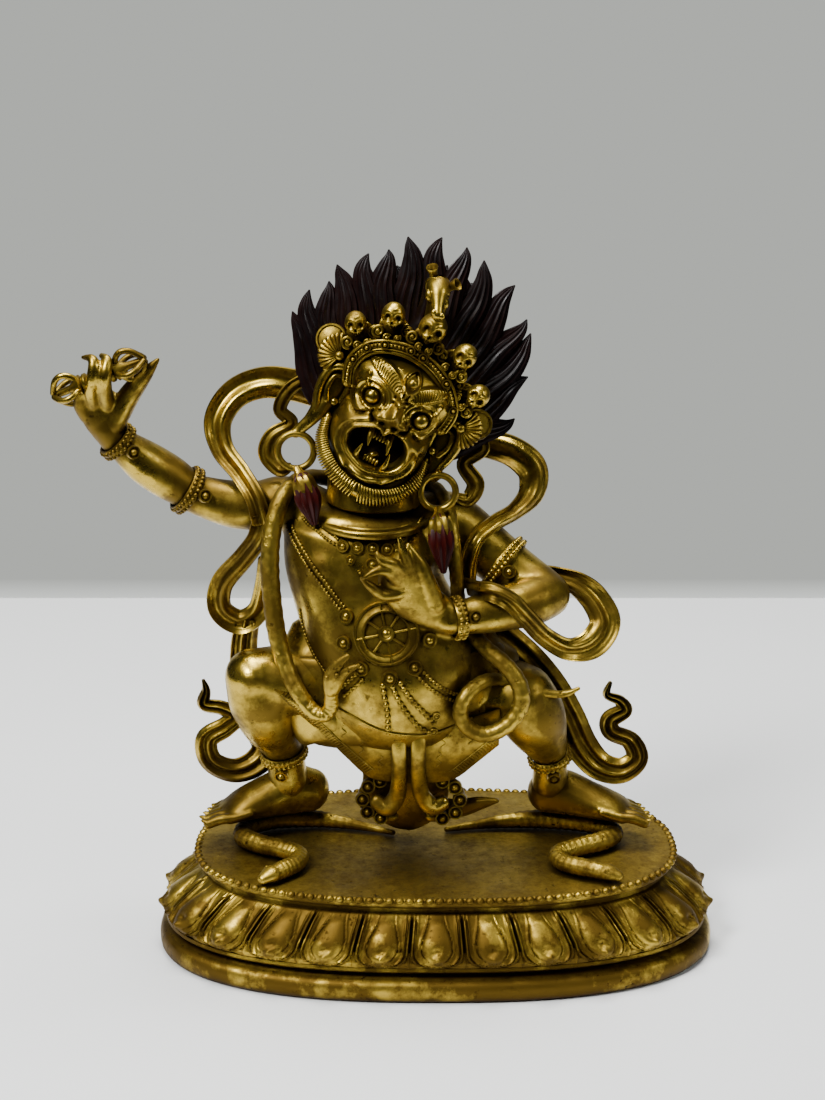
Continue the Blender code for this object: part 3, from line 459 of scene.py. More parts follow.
def table_top(name, colour):
    """A pale matt table, a little uneven in tone."""
    material, tree, shader = node_graph(name)
    place = tree.nodes.new("ShaderNodeTexCoord").outputs["Object"]
    uneven = mixed(tree, noise(tree, place, 12, 3), colour, tuple(c * 0.97 for c in colour))
    tree.links.new(uneven, shader.inputs["Base Color"])
    shader.inputs["Roughness"].default_value = 0.6
    return material


def lit_wall(name, low, high, from_z, to_z):
    """A wall far behind that is no lamp but glows with painted light, as bright as low at its foot and as
    high above.
    """
    material, tree, shader = node_graph(name)
    place = tree.nodes.new("ShaderNodeTexCoord").outputs["Object"]
    split = tree.nodes.new("ShaderNodeSeparateXYZ")
    tree.links.new(place, split.inputs[0])
    height = ranged(tree, split.outputs["Z"], from_z, to_z)
    tree.links.new(mixed(tree, height, low, high), shader.inputs["Emission Color"])
    shader.inputs["Emission Strength"].default_value = 1.0
    shader.inputs["Base Color"].default_value = (0, 0, 0, 1)
    shader.inputs["Specular IOR Level"].default_value = 0.0
    return material


# The lotus base

OVAL_POWER = 2.5
PLATE_HALF = (0.0609 / MM, 0.0330 / MM)
RING_HALF = (0.0709 / MM, 0.0382 / MM)
# Points round the core, across each petal and up it, and how far a petal's carving leans up
CORE_STEPS = 520
PETAL_STEPS = 54
PETAL_ROWS = 50
PETAL_LEAN = 28


def oval(half_width, half_depth, count):
    """Points evenly round an oval, and the way out at each."""
    fine = 5760
    angle = np.arange(fine + 1) * math.tau / fine
    c, s = np.cos(angle), np.sin(angle)
    ring = np.stack([np.sign(c) * np.abs(c) ** (2 / OVAL_POWER) * half_width,
                     np.sign(s) * np.abs(s) ** (2 / OVAL_POWER) * half_depth], 1)
    length = np.r_[0, np.cumsum(np.linalg.norm(np.diff(ring, axis=0), axis=1))]
    want = length[-1] * np.arange(count) / count
    spots = np.stack([np.interp(want, length, ring[:, k]) for k in range(2)], 1)
    edge = normalised(np.roll(spots, -1, 0) - np.roll(spots, 1, 0))
    return spots, np.stack([edge[:, 1], -edge[:, 0]], 1)


def ridge(distance, width):
    """A round ridge: 1 at no distance and falling away over a width."""
    return np.exp(-(distance / width) ** 2)


def soft_step(value, low, high):
    """0 below low, 1 above high and an even slope between."""
    t = np.clip((value - low) / (high - low), 0, 1)
    return t * t * (3 - 2 * t)


def petal_relief(s, t, half):
    """How far a petal's surface stands out in mm. s runs across it, -1 to 1, and t up it, 0 to 1."""
    across = np.abs(s) * half
    low = np.clip((0.34 - t) / 0.33, 0, 1)
    edge = half * 0.955 * np.sqrt(np.clip(1 - low ** 2.2, 0, 1)) - across
    inside = soft_step(edge, -0.2, 0.2)
    lines = (0.50 * ridge(edge - 0.30, 0.27) + 0.42 * ridge(edge - 1.12, 0.25)
             - 0.25 * ridge(edge - 0.72, 0.2))
    wide = half * 0.56 * (1 - 0.50 * soft_step(t, 0.45, 1.0))
    rise = np.clip((0.44 - t) / 0.32, 0, 1)
    reach = wide * np.sqrt(np.clip(1 - rise ** 2, 0, 1))
    boss = np.sqrt(np.clip(1 - (across / np.maximum(reach, 0.05)) ** 2, 0, 1)) * (reach > 0.06)
    boss = boss * (1.55 - 0.8 * soft_step(t, 0.5, 1.0)) * (0.35 + 0.65 * reach / (half * 0.56))
    rim = 0.32 * ridge(across - reach - 0.42, 0.24) * (t > 0.10) * inside
    tip = 0.55 * np.exp(-((s * half) ** 2 + ((t - 0.19) * 13) ** 2) / 0.50)
    pit = -0.60 * np.exp(-((s * half / 1.1) ** 2 + ((t - 0.36) * 13) ** 2) / 0.75)
    between = 0.9 * np.clip(1 - (1 - np.abs(s)) * half / (0.35 + 3.2 * low), 0, 1) * (t < 0.34)
    midrib = 0.3 * ridge((1 - np.abs(s)) * half, 0.22) * (t < 0.30)
    back = (1 - inside) * (-0.65 + between + midrib)
    return inside * 0.30 + lines * (t > 0.02) + boss + rim + tip + pit + back


def base_ring(z, near, inset, count, relief=None, lean=0.0):
    """A level ring of the base: its height over the table, how near it is to the foot ring's size
    from the plate's, an inset, and how far relief pushes it out and up."""
    half = [plate + (ring - plate) * near - inset for plate, ring in zip(PLATE_HALF, RING_HALF)]
    spots, out = oval(*half, count)
    lift = np.zeros(count)
    if relief is not None:
        spots = spots + out * relief[:, None] * math.cos(lean)
        lift = relief * math.sin(lean)
    return np.column_stack([spots, z - TOP / MM + lift])


def lotus_core(count):
    """The foot ring, the ledge, the neck and the plate, as one shell of level rings."""
    # Height over the table in mm, how near to the foot ring's size, and an inset in mm
    rows = [(0, 1, 1.5), (0.35, 1, 0.7), (1.0, 1, 0.15), (2.0, 1, 0), (3.4, 1, 0), (4.5, 1, 0.35),
            (5.2, 1, 1.0), (5.6, 1, 1.9), (5.8, 1, 3.3), (6.4, 1, 3.7), (7.0, 1, 3.3), (7.3, 1, 2.2),
            (7.9, 1, 1.7), (8.6, 1, 1.9), (9.0, 1, 3.0), (9.6, 0.8, 5.0), (14, 0.5, 5.5), (19.6, 0, 5.0),
            (20.4, 0, 1.9), (21.2, 0, 2.4), (22.2, 0, 2.2), (22.7, 0, 1.3), (22.9, 0, 0.5), (23.2, 0, 0.15),
            (24.5, 0, 0.1), (24.8, 0, 0.3), (25.0, 0, 0.8)]
    rings = [base_ring(*row, count) for row in rows]
    plate = rings[-1]
    for shrink in (0.985, 0.97, 0.90, 0.6, 0.3):
        inner = plate.copy()
        inner[:, :2] *= shrink
        rings.append(inner)
    return skin(np.asarray(rings))


def lotus_petals(petals, steps, rows):
    """The carved petals, as a shell round the core."""
    count = petals * steps
    share = np.arange(count) / steps
    s = 2 * (share - np.floor(share)) - 1
    rings = [base_ring(8.3, 0.6, 6, count), base_ring(8.4, 0.84, 1.6, count)]
    for t in np.linspace(0.0, 1.0, rows):
        near = np.interp(t, (0, 0.12, 0.42, 0.75, 1), (0.86, 0.90, 0.66, 0.24, 0.0))
        inset = np.interp(t, (0, 0.12, 0.75, 1), (0.9, 0.6, 0.6, 1.4))
        relief = petal_relief(s, t, 6.6 - 0.9 * t)
        # The petals' tips lift from the ledge, and their roots sink under the neck
        relief = relief * (1 - 0.75 * soft_step(np.full(count, t), 0.8, 1.0))
        relief = relief + 0.8 * ridge(t - 0.14, 0.13) * np.clip(1 - np.abs(s) * 1.15, 0, 1)
        rings.append(base_ring(8.8 + 11.6 * t, near, inset, count, relief, math.radians(PETAL_LEAN)))
    rings += [base_ring(20.8, 0, 3.0, count), base_ring(20.9, 0, 8.0, count)]
    return skin(np.asarray(rings))


def rim_beads(pitch):
    """The row of beads along the plate's edge."""
    spots, _ = oval(PLATE_HALF[0] - 0.3, PLATE_HALF[1] - 0.3, 4000)
    path = np.column_stack([spots, np.full(len(spots), -0.35)])
    path = np.concatenate([path, path[:1]])
    placed = even_steps(path, pitch)[:-1]
    size = np.array([0.46, 0.46, 0.36]) * pitch
    return join([(BEAD[0] * size + at, [BEAD[1]]) for at in placed])


# The snakes under the feet, as x, y and radius

FOOT_SNAKES = {
    "right_foot_snake": [
        (-11, 3, 0.7), (-18, 5.5, 1.2), (-26, 7.5, 1.9), (-34, 8, 2.4), (-42, 7, 2.5), (-48, 3, 2.5),
        (-49, -3, 2.5), (-44.5, -7.6, 2.5), (-38.5, -10.4, 2.4), (-34.2, -13.6, 2.3),
        (-34.6, -18, 2.2), (-37.6, -21.6, 2.3), (-40.4, -24, 1.9)],
    "left_foot_snake": [
        (3, 5, 0.7), (10, 6.5, 1.2), (18, 7.5, 1.9), (26, 7.5, 2.4), (34, 6.5, 2.5), (41.5, 4, 2.5),
        (45.5, -1, 2.5), (42, -6, 2.5), (35.5, -9.4, 2.4), (30.4, -13.2, 2.3),
        (31.6, -17.8, 2.2), (37, -21, 2.3), (42, -23, 1.9)],
}
SEAT_GAP = 0.3


def scales(path):
    """Snake skin: shallow rings of swelling along its length."""
    path = path.copy()
    turn = np.arange(len(path))
    path[:, 3:5] *= (1 + 0.035 * np.cos(turn * math.pi * 0.5))[:, None]
    return path


def foot_snake(rows):
    """A snake that lies on the base under a foot, with its scales and its head."""
    path = [(x, y, SEAT_GAP + r, r, r) for x, y, r in rows]
    body = sweep(path, fluted(30, 10, 0.07), 16, (0, 0, 1), wave=scales)
    x, y, r = rows[-1]
    back = Vector((x - rows[-2][0], y - rows[-2][1], 0)).normalized()
    side = Vector((-back.y, back.x, 0))
    head = sweep([(x - back.x * 2, y - back.y * 2, 2.4, 2.0, 1.8), (x, y, 2.5, 2.5, 2.0),
                  (x + back.x * 2.4, y + back.y * 2.4, 2.0, 1.5, 1.3)], circle(18), 6, (0, 0, 1))
    parts = [body, head]
    for hand in (-1, 1):
        eye = (x + side.x * 1.6 * hand, y + side.y * 1.6 * hand, 3.7)
        parts.append(ball(eye, (0.55, 0.55, 0.55), 10, 8))
    return parts


# The body: rows are x, y, z, half width and half depth

TORSO = [
    (-7, 1, 25, 11, 8), (-7, 0, 33, 18, 13), (-8, -2, 40, 20.5, 16), (-9.5, -3, 47, 21.5, 17.2),
    (-11, -3.5, 54, 20.8, 16.8), (-14, -3, 61, 19.2, 15.2), (-16.5, -2, 68, 18.6, 13.8),
    (-17.3, -1, 75.5, 20, 13.4), (-16.3, 0, 82, 20.8, 12.6), (-15.8, 0, 86.6, 17, 11)]
RIGHT_ARM = [
    (-24, 2, 82.4, 7.4), (-33, 3, 87.6, 6.9), (-38.3, 3, 89, 6.6), (-42.7, 3, 88.3, 6.2),
    (-49.2, 2, 88.8, 5.9), (-56.4, 1, 90.9, 5.1), (-59.9, 0, 92.7, 4.8), (-64.5, -1, 96.2, 5.5),
    (-70, -3, 100.6, 5.3), (-74.3, -5, 104.8, 4.1), (-76.7, -6, 106.9, 3.6), (-78, -7, 110, 3.7)]
LEFT_ARM = [
    (-8, 2, 82, 8), (0, 3.5, 84, 7.8), (4.6, 4, 83, 7.4), (10.7, 3, 78.4, 6.9),
    (18.1, 1, 72.9, 6.4), (24.1, -2, 69.2, 6.0), (27, -4, 67.6, 5.7)]
LEFT_FOREARM = [
    (27, -4.2, 67.6, 5.7), (22.6, -8, 67, 5.9), (16.4, -11, 66.4, 5.5), (10.3, -13, 65.6, 4.8),
    (4.5, -15, 65.2, 4.0), (2, -15.6, 65.4, 3.8)]
RIGHT_THIGH = [(-12, 1, 38, 11), (-24, -1, 42, 10.6), (-34, -4, 45.5, 9.2), (-45.2, -7, 47.6, 6.9)]
RIGHT_CALF = [
    (-45.2, -7, 47.4, 6.9), (-43.6, -5.5, 41, 7.9), (-41.6, -3, 34, 7.2), (-39.2, 1, 27, 5.4),
    (-38.3, 3, 22.5, 4.8), (-37.8, 4, 15, 5.2)]
LEFT_THIGH = [(-2, 1, 38, 11), (8, 0, 40.5, 10.6), (15, -2, 41.6, 9.4), (21.2, -5, 41.4, 8.4)]
LEFT_CALF = [
    (21.4, -5, 41.5, 8.2), (24, -4, 36, 8.3), (26.3, -1.5, 30.5, 6.9), (28.6, 1.5, 24.4, 4.7),
    (29.2, 2.8, 21, 4.2), (29.4, 4, 15, 4.8)]
# Soft masses: centre and radii
MUSCLES = [
    ((-9.5, -5.5, 50), (20, 15.5, 16.5)), ((-25, -7, 76.5), (8, 6.5, 6.5)),
    ((-8.5, -7.5, 76.5), (8, 6.5, 6.5)), ((-44.8, -9.5, 48), (5, 5, 5)), ((22, -8, 42), (5.6, 5.4, 5.6)),
    ((-41.5, -1, 37), (6.5, 8, 7)), ((26, 0, 33), (6.2, 7.6, 6.5))]
# Feet run from heel to toes: x, y, half width and the instep's height
RIGHT_FOOT = [
    (-32.4, 6.5, 5.0, 11.6), (-37, 5.4, 5.5, 13), (-43, 3.6, 5.8, 10.8), (-49, 1.8, 6.1, 7.8),
    (-53.2, 0.6, 6.1, 4.4)]
LEFT_FOOT = [
    (28.6, 6, 4.8, 10.8), (33, 5, 5.3, 11.8), (39.5, 3.4, 5.8, 9), (45.5, 1.8, 6.0, 6.4),
    (48.6, 0.9, 5.9, 4.0)]
SOLE = 5.6
TOE_RADIUS = 1.3
RIGHT_PALM = [(-77.6, -6.6, 108.6, 3.8, 3), (-79, -8, 113, 4.8, 2.8), (-79.6, -8.6, 117.4, 4.6, 2.4)]
LEFT_PALM = [
    (3, -15.6, 65.4, 4, 3.2), (-1.5, -17, 68, 5, 2.8), (-6, -19, 72, 5.8, 2.4),
    (-9, -20.8, 76.4, 5.2, 2.2), (-9.8, -21.6, 79, 4.2, 2)]
FINGERS = [
    [(-76.4, -7.6, 111, 2.9), (-72.2, -9, 118, 2.6), (-68, -10.8, 123.2, 1.8), (-64.6, -12, 127.1, 0.5)],
    [(-80.4, -9.4, 116, 1.9), (-80.2, -13, 120, 1.7), (-79.2, -15.4, 124, 1.5), (-79.2, -14.6, 127.4, 1.2),
     (-81.8, -12.4, 127.6, 0.6)],
    [(-77.2, -9.6, 116, 1.9), (-77, -13.2, 120, 1.7), (-76.4, -15.6, 124, 1.5), (-76, -14.4, 127.2, 1.2),
     (-77.6, -12.4, 128, 0.7)],
    [(-82.6, -8.4, 113, 1.7), (-83.6, -10.4, 116, 1.5), (-83, -12, 119.4, 1.2)],
    [(-5.5, -20.2, 76, 1.9), (-7.6, -22.4, 82.4, 1.4), (-9, -24, 87.6, 0.5)],
    [(-0.6, -17.8, 69.6, 2.7), (-2.8, -19.8, 76.4, 2.2), (-4.2, -20.8, 80.4, 1.7), (-6.9, -21, 85, 0.7)],
    [(-8.4, -22, 78.6, 1.6), (-10.5, -24, 81.4, 1.4), (-13, -25, 82.6, 1.1), (-14.2, -25, 84.4, 0.5)],
    [(-9.6, -22, 76.8, 1.7), (-12, -24.4, 79.8, 1.4), (-14.5, -25.4, 80, 1.1), (-17, -26, 78.6, 0.5)],
    [(-9.4, -21, 73.4, 1.8), (-13, -22.4, 73.4, 1.5), (-15.5, -24, 75.8, 1.2), (-17.8, -25, 78.2, 0.5)]]


def foot(rows, toes_run):
    """A foot with its five toes, flat on the sole."""
    path = [(x, y, SOLE + h / 2, w, h / 2) for x, y, w, h in rows]
    parts = [sweep(path, circle(30), 6, (0, 0, 1))]
    x, y, wide, _ = rows[-1]
    for i in range(5):
        side = y + wide * (0.8 - 0.4 * i)
        reach = toes_run * (1 - 0.12 * abs(i - 3))
        z = SOLE + TOE_RADIUS
        knuckle = x + reach * 0.35
        parts.append(sweep([(x - toes_run * 1.3, side * 0.9 + y * 0.1, z + 2.6, TOE_RADIUS * 0.7),
                            (x - toes_run * 0.4, side, z + 1.5, TOE_RADIUS * 0.9),
                            (knuckle, side - 0.2, z + 1.1, TOE_RADIUS * 1.05),
                            (x + reach, side - 0.4, z, TOE_RADIUS)], circle(16), 5, (0, 0, 1)))
        nail = (x + reach * 1.25, side - 0.4, z + TOE_RADIUS * 0.72)
        parts.append(ball(nail, (TOE_RADIUS * 0.7, TOE_RADIUS * 0.62, 0.4), 14, 8))
    for points, _ in parts:
        points[:, 2] = np.maximum(points[:, 2], SOLE)
    return parts


def body_piece(grain):
    """Torso, limbs, feet and hands as one skin."""
    soft = [sweep(TORSO, circle(64), 8, blunt=0.3)]
    for limb in (RIGHT_ARM, LEFT_ARM, LEFT_FOREARM, RIGHT_THIGH, RIGHT_CALF, LEFT_THIGH, LEFT_CALF):
        soft.append(sweep(limb, circle(36), 6))
    soft += [ball(centre, radii) for centre, radii in MUSCLES]
    soft += [sweep(palm, circle(24), 6) for palm in (RIGHT_PALM, LEFT_PALM)]
    body = fleshed("body", soft, grain, 10)
    hands = [sweep(palm, circle(24), 6) for palm in (RIGHT_PALM, LEFT_PALM)]
    hands += [sweep(finger, circle(16), 6) for finger in FINGERS]
    hands = fleshed("hands", hands, grain * 0.5, 5)
    feet = fleshed("feet", foot(RIGHT_FOOT, -5.0) + foot(LEFT_FOOT, 5.0), grain * 0.5, 1)
    return united("body", [body, hands, feet])


VAJRA = ((-89.6, -11, 118.2), (-67.4, -13, 127.4))


def vajra():
    """A thunderbolt: a ribbed grip, with a cage of four curved prongs round a core at each end."""
    low, high = np.array(VAJRA[0], float), np.array(VAJRA[1], float)
    turn = square_to(high - low)
    length = np.linalg.norm(high - low)
    middle = (low + high) / 2
    profile = [(0.02, -0.5), (0.6, -0.485), (0.8, -0.44), (1.0, -0.3), (2.2, -0.22), (2.5, -0.19),
               (1.7, -0.17), (2.3, -0.145), (2.3, -0.12), (1.6, -0.10), (2.1, -0.07), (1.4, -0.05), (2.3, 0),
               (1.4, 0.05), (2.1, 0.07), (1.6, 0.10), (2.3, 0.12), (2.3, 0.145), (1.7, 0.17), (2.5, 0.19),
               (2.2, 0.22), (1.0, 0.3), (0.8, 0.44), (0.6, 0.485), (0.02, 0.5)]
    parts = [turned([(r, share * length) for r, share in profile], middle, turn, 24)]
    for end in (-1, 1):
        for k in range(4):
            a = math.tau * (k + 0.5) / 4
            way = turn @ np.array([math.cos(a), 0, math.sin(a)])
            rows = []
            for share, out in ((0.2, 1.6), (0.26, 3.4), (0.33, 4.1), (0.41, 3.2), (0.48, 0.7)):
                at = middle + (high - low) * share * end + way * out
                rows.append((*at, 0.75, 0.75))
            parts.append(sweep(rows, circle(10), 4, facing=tuple(way)))
    return parts


# The tiger skin round the hips

SKIRT = [
    (-11, 0, 56, 26, 9), (-11, -1, 51, 31.5, 11.5), (-10.8, -3, 45, 29.5, 12.6),
    (-7.8, -5.4, 38.5, 25.6, 10.6), (-6.2, -5, 32, 20.8, 7.4), (-6.4, -3.2, 25.5, 16.2, 5),
    (-6.9, -1.6, 19.4, 11.8, 3.6), (-6.9, 0, 13.6, 11.6, 3), (-4.6, 0.8, 8.4, 8.8, 2.4),
    (-3, 1.4, 5.6, 5.6, 1.6)]
TIGER_LEGS = [
    [(-9.4, -14.8, 38, 2.1, 1.4), (-9.1, -15, 30, 1.9, 1.3), (-9.2, -12.6, 23, 1.9, 1.4),
     (-9.8, -9.8, 17, 2.2, 1.6), (-12.2, -8.8, 13.4, 2.4, 1.8), (-15, -8.2, 14.8, 1.9, 1.5)],
    [(-4.4, -14.8, 38, 2.1, 1.4), (-4.6, -15, 30, 1.9, 1.3), (-4.5, -12.6, 23, 1.9, 1.4),
     (-3.5, -9.8, 17, 2.2, 1.6), (-1, -8.8, 13.6, 2.4, 1.8), (1.8, -8.2, 14.4, 1.9, 1.5)]]
# The curls of fur beside the paws, as x and z
PAW_TUFTS = (
    [(-11.4, 20.4), (-14.0, 19.8), (-17.0, 18.2), (-18.4, 14.8), (-17.2, 11.4), (-13.9, 9.8), (-10.8, 9.4)],
    [(-1.6, 20.0), (1.6, 19.6), (4.7, 18.0), (6.0, 14.6), (4.9, 11.2), (1.6, 9.6), (-1.4, 9.4)])
TIGER_TAIL = [
    (2, 0, 9.5, 2.6, 1.5), (6, -1, 9.6, 2.5, 1.4), (11, -2, 11.4, 1.9, 1.2), (15.4, -3, 12.6, 0.7, 0.6)]


# The skin's front, as x, then the y and z of its upper edge and of its hanging edge
APRON = [(-39.4, -12.6, 47, -12.6, 45.6), (-34, -13, 45, -12.2, 40.2), (-28, -13.4, 42, -11.4, 34.2),
         (-22, -13.6, 39.5, -10.4, 27.4), (-17, -13.6, 38, -9.4, 22.2), (-12, -13.6, 37.5, -9, 20.6),
         (-6, -13.6, 37.5, -9, 20.2), (0, -13.6, 37.5, -9, 20.4), (5, -13.4, 38, -9.4, 21.8),
         (10, -12.8, 39.4, -10.2, 26.2), (15.4, -12, 41, -11.4, 31.4)]


def apron():
    """The tiger skin's front, hanging to a point: a thin sheet with a rounded edge."""
    columns = spline(APRON, 6)
    fall = np.linspace(0, 1, 24)[:, None]
    front = []
    for x, top_y, top_z, low_y, low_z in columns:
        sag = 1.2 * np.sin(math.pi * fall[:, 0])
        front.append(np.column_stack([np.full(24, x), top_y + (low_y - top_y) * fall[:, 0] - sag,
                                      top_z + (low_z - top_z) * fall[:, 0]]))
    front = np.array(front)
    turn = np.linspace(0, math.pi, 5)[1:-1]
    rims = np.stack([front[:, -1] + (0, 0.45 - 0.45 * math.cos(a), -0.45 * math.sin(a)) for a in turn], 1)
    back = (front + (0, 0.9, 0))[:, ::-1]
    return skin(np.concatenate([front, rims, back], 1)[::-1])


def rosette(centre, direction, radius, height=0.5):
    """A round boss: a rim, a groove and a ball in the middle."""
    profile = [(radius, -0.4), (radius, height * 0.6), (radius * 0.92, height), (radius * 0.78, height),
               (radius * 0.66, height * 0.62), (radius * 0.52, height * 0.62), (radius * 0.44, height * 0.95),
               (radius * 0.30, height * 1.35), (radius * 0.14, height * 1.5), (0.01, height * 1.52)]
    return turned(profile, centre, square_to(direction), 24)


# Jewellery, laid on the surfaces under it. Strands are rows of x and z, seen from the front.

STRANDS = (
    (0.46, [(-33.8, 88.4), (-31.2, 86.4), (-28.4, 85.0), (-25.5, 83.4), (-23.8, 82.5)]),
    (0.46, [(-33.3, 89.6), (-30.3, 87.5), (-27.5, 86.1), (-24.6, 84.5), (-22.8, 83.4)]),
    (0.46, [(-37.4, 88.6), (-35.7, 84.2), (-32.9, 79.6), (-29.2, 74.8), (-24.9, 69.4), (-22.6, 66.8)]),
    (0.46, [(-36.4, 89.1), (-34.6, 84.9), (-31.8, 80.4), (-28.1, 75.6), (-23.9, 70.2), (-21.5, 67.4)]),
    (0.42, [(-33.2, 64.8), (-32.6, 60.9), (-31.4, 57.3), (-29.3, 53.8), (-27.1, 51.1), (-25.3, 49.0)]),
    (0.46, [(-3.6, 87.2), (-5.6, 85.4), (-8.2, 83.6), (-10.4, 82.4)]),
    (0.46, [(-2.9, 86.2), (-4.9, 84.2), (-7.6, 82.4), (-9.8, 81.2)]),
    (0.74, [(-12.9, 50.2), (-12.5, 46.9), (-12.0, 44.1), (-11.8, 41.3), (-11.8, 38.4)]),
    (0.74, [(-10.6, 50.1), (-9.6, 47.3), (-8.2, 44.4), (-6.5, 41.6), (-4.6, 38.8), (-1.9, 36.6)]),
    (0.74, [(-8.8, 50.9), (-7.5, 48.5), (-5.8, 46.0), (-4.0, 43.6), (-2.2, 41.4), (-0.7, 39.5)]),
    (0.55, [(-19.4, 52.2), (-21.4, 49.9), (-23.6, 47.6)]),
    (0.55, [(-18.0, 51.2), (-20.1, 48.7), (-22.3, 46.4)]),
    (0.55, [(-4.0, 54.0), (-1.7, 51.4), (0.9, 49.0), (3.6, 46.8), (6.4, 45.4)]),
    (0.55, [(-5.0, 52.8), (-2.7, 50.1), (-0.1, 47.7), (2.7, 45.5), (5.6, 43.8)]),
)
# Round bosses, as x, z and radius
BOSSES = (
    (-22.4, 82.4, 1.55), (-19.0, 82.1, 1.6), (-15.4, 81.9, 1.6), (-12.0, 81.6, 1.55), (-15.4, 78.2, 1.75),
    (-20.6, 79.2, 1.2), (-18.4, 76.3, 0.7), (-21.6, 65.9, 1.9), (-22.2, 59.4, 1.95), (-18.0, 53.9, 1.9),
    (-11.2, 52.0, 2.0), (-5.4, 54.4, 1.9), (-1.9, 60.4, 1.9), (-0.2, 41.2, 1.1), (-0.9, 36.8, 1.1))
BELLY_EDGE = [(-27, 44.4), (-23.5, 42.2), (-20.5, 40.9), (-17.4, 39.4), (-14.2, 37.9), (-10.9, 36.9),
              (-7.7, 36.4), (-2.9, 35.9), (1.3, 36.6), (5.0, 37.5), (8.4, 38.8)]
# The hems of the tiger skin: where each starts and ends, and the way in from its edge
HEMS = (((-38.6, 45.0), (-17.4, 22.6), (0.75, 0.66)), ((15.0, 31.2), (5.2, 22.0), (-0.68, 0.73)))
FUR_MARKS = ((-22.6, 36.4), (-18.4, 31.4), (-14.6, 33.6), (-13.8, 26.6), (1.6, 33.2), (0.6, 27.6),
             (8.4, 34.0), (-7.0, 10.4), (-27.6, 41.6))
# Armlets, bracelets and anklets: centre, radius, the limb's direction and where the boss faces
BANDS = (
    ((-60.4, 0, 92.9), 5.5, (1, 0.3, -0.7), (0.35, -1, 0.3)),
    ((-75.8, -5.6, 106.2), 4.3, (0.8, 0.4, -0.9), (0.3, -1, 0.25)),
    ((16.6, 1.4, 74), 7.0, (1, -0.35, -0.75), (-0.5, -1, 0.5)),
    ((4.8, -14.9, 65.2), 4.6, (1, 0.35, 0.05), (0.5, -1, 0.3)),
    ((-38.6, 2.3, 23.6), 5.4, (0.15, 0.3, -1), (-0.2, -1, 0.25)),
    ((29.0, 2.2, 22.6), 4.9, (0.25, 0.35, -1), (-0.1, -1, 0.25)))
COLLAR = ((-15.8, 0, 87), 13.2, (0.02, -0.12, 1))
WHEEL = ((-12.1, 62.4), 7.9)
FRONT = -80.0


def surface_of(*names):
    """Pieces already made, as a surface to lay ornaments on, in drawn millimetres."""
    points, faces = [], []
    for name in names:
        mesh = bpy.data.objects[name].data
        start = len(points)
        points += [(v.co - Vector((0, 0, TOP))) / MM for v in mesh.vertices]
        faces += [[start + i for i in face.vertices] for face in mesh.polygons]
    return BVHTree.FromPolygons(points, faces)


def torso_surface():
    """The torso alone, so that nothing is laid on the hand before it."""
    points, groups = join([sweep(TORSO, circle(64), 8, blunt=0.3)] + [ball(*muscle) for muscle in MUSCLES])
    faces = [face for group in groups for face in group.tolist()]
    return BVHTree.FromPolygons(points.tolist(), faces)


def laid(surface, spots, lift=0.0):
    """Places of x and z dropped on a surface from the front, and the way out at each."""
    points, ways = [], []
    for x, z in spots:
        hit, way, _, _ = surface.ray_cast(Vector((x, FRONT, z)), Vector((0, 1, 0)))
        if hit is None:
            continue
        way = -way if way.y > 0 else way
        points.append(np.array(hit + way * lift))
        ways.append(np.array(way))
    return np.array(points), np.array(ways)


def cord(path, radius, sides=8):
    """A round cord through close points."""
    return sweep([(*point, radius) for point in path], circle(sides), 1, cap=2)


def strand(surface, spots, radius):
    """A string of beads, on a cord sunk in the metal."""
    path, _ = laid(surface, spline(spots, 10), radius * 0.35)
    return [beads(path, radius), cord(even_steps(path, 1.2), radius * 0.45)]


def boss(surface, x, z, radius):
    """A rosette set on a surface at an x and z."""
    (point,), (way,) = laid(surface, [(x, z)])
    return rosette(point, way, radius, radius * 0.45)


def limb_band(centre, radius, direction, face):
    """Two rings of beads round a limb, on a plain ring, with a boss on its face."""
    turn = square_to(direction)
    axis = normalised(np.array(direction, float))
    angle = np.linspace(0, math.tau, 200)
    made = [hoop(centre, radius, (0.55, 1.5), turn, 10, 64)]
    for side in (-1, 1):
        middle = np.array(centre) + axis * side * 0.68
        ring = np.stack([np.cos(angle), 0 * angle, np.sin(angle)], 1) * (radius + 0.35)
        made.append(beads((ring @ turn.T + middle)[:-3], 0.58, 0.03))
    face = np.array(face, float)
    face = normalised(face - axis * (face @ axis))
    # The boss stands on the limb's side of the band that is nearer to the body
    made.append(rosette(np.array(centre) + face * (radius + 0.3) + axis * 2.7, face, 1.7, 1.0))
    return made


def wheel(surface):
    """The eight-spoked wheel on the belly."""
    (x, z), radius = WHEEL
    (point,), (way,) = laid(surface, [(x, z)])
    way = normalised(way * (1, 1, 0.6))
    turn = square_to(way)
    # Its section from the outside in, as shares of its radius and how far forwards
    section = [(1, -2.6), (1, 0.5), (0.97, 0.8), (0.92, 0.8), (0.89, 0.5), (0.74, 0.62), (0.71, 0.95),
               (0.67, 0.95), (0.64, 0.25), (0.26, 0.3), (0.24, 0.95), (0.17, 0.95), (0.13, 0.75),
               (0.08, 1.15)]
    profile = [(radius * share, out) for share, out in section] + [(0.01, 1.3)]
    made = [turned(profile, point, turn, 72)]
    for k in range(8):
        a = math.tau * (k + 0.25) / 8
        out = turn @ np.array([math.cos(a), 0, math.sin(a)])
        inner = point + way * 0.32 + out * radius * 0.2
        outer = point + way * 0.32 + out * radius * 0.7
        made.append(sweep([(*inner, 0.3), (*outer, 0.4)], circle(8), 2, cap=1))
        if k % 2 == 0:
            inner = point + way * 0.55 + out * radius * 0.74
            outer = point + way * 0.55 + out * radius * 0.92
            made.append(sweep([(*inner, 0.22), (*outer, 0.22)], circle(8), 2, cap=1))
    return made


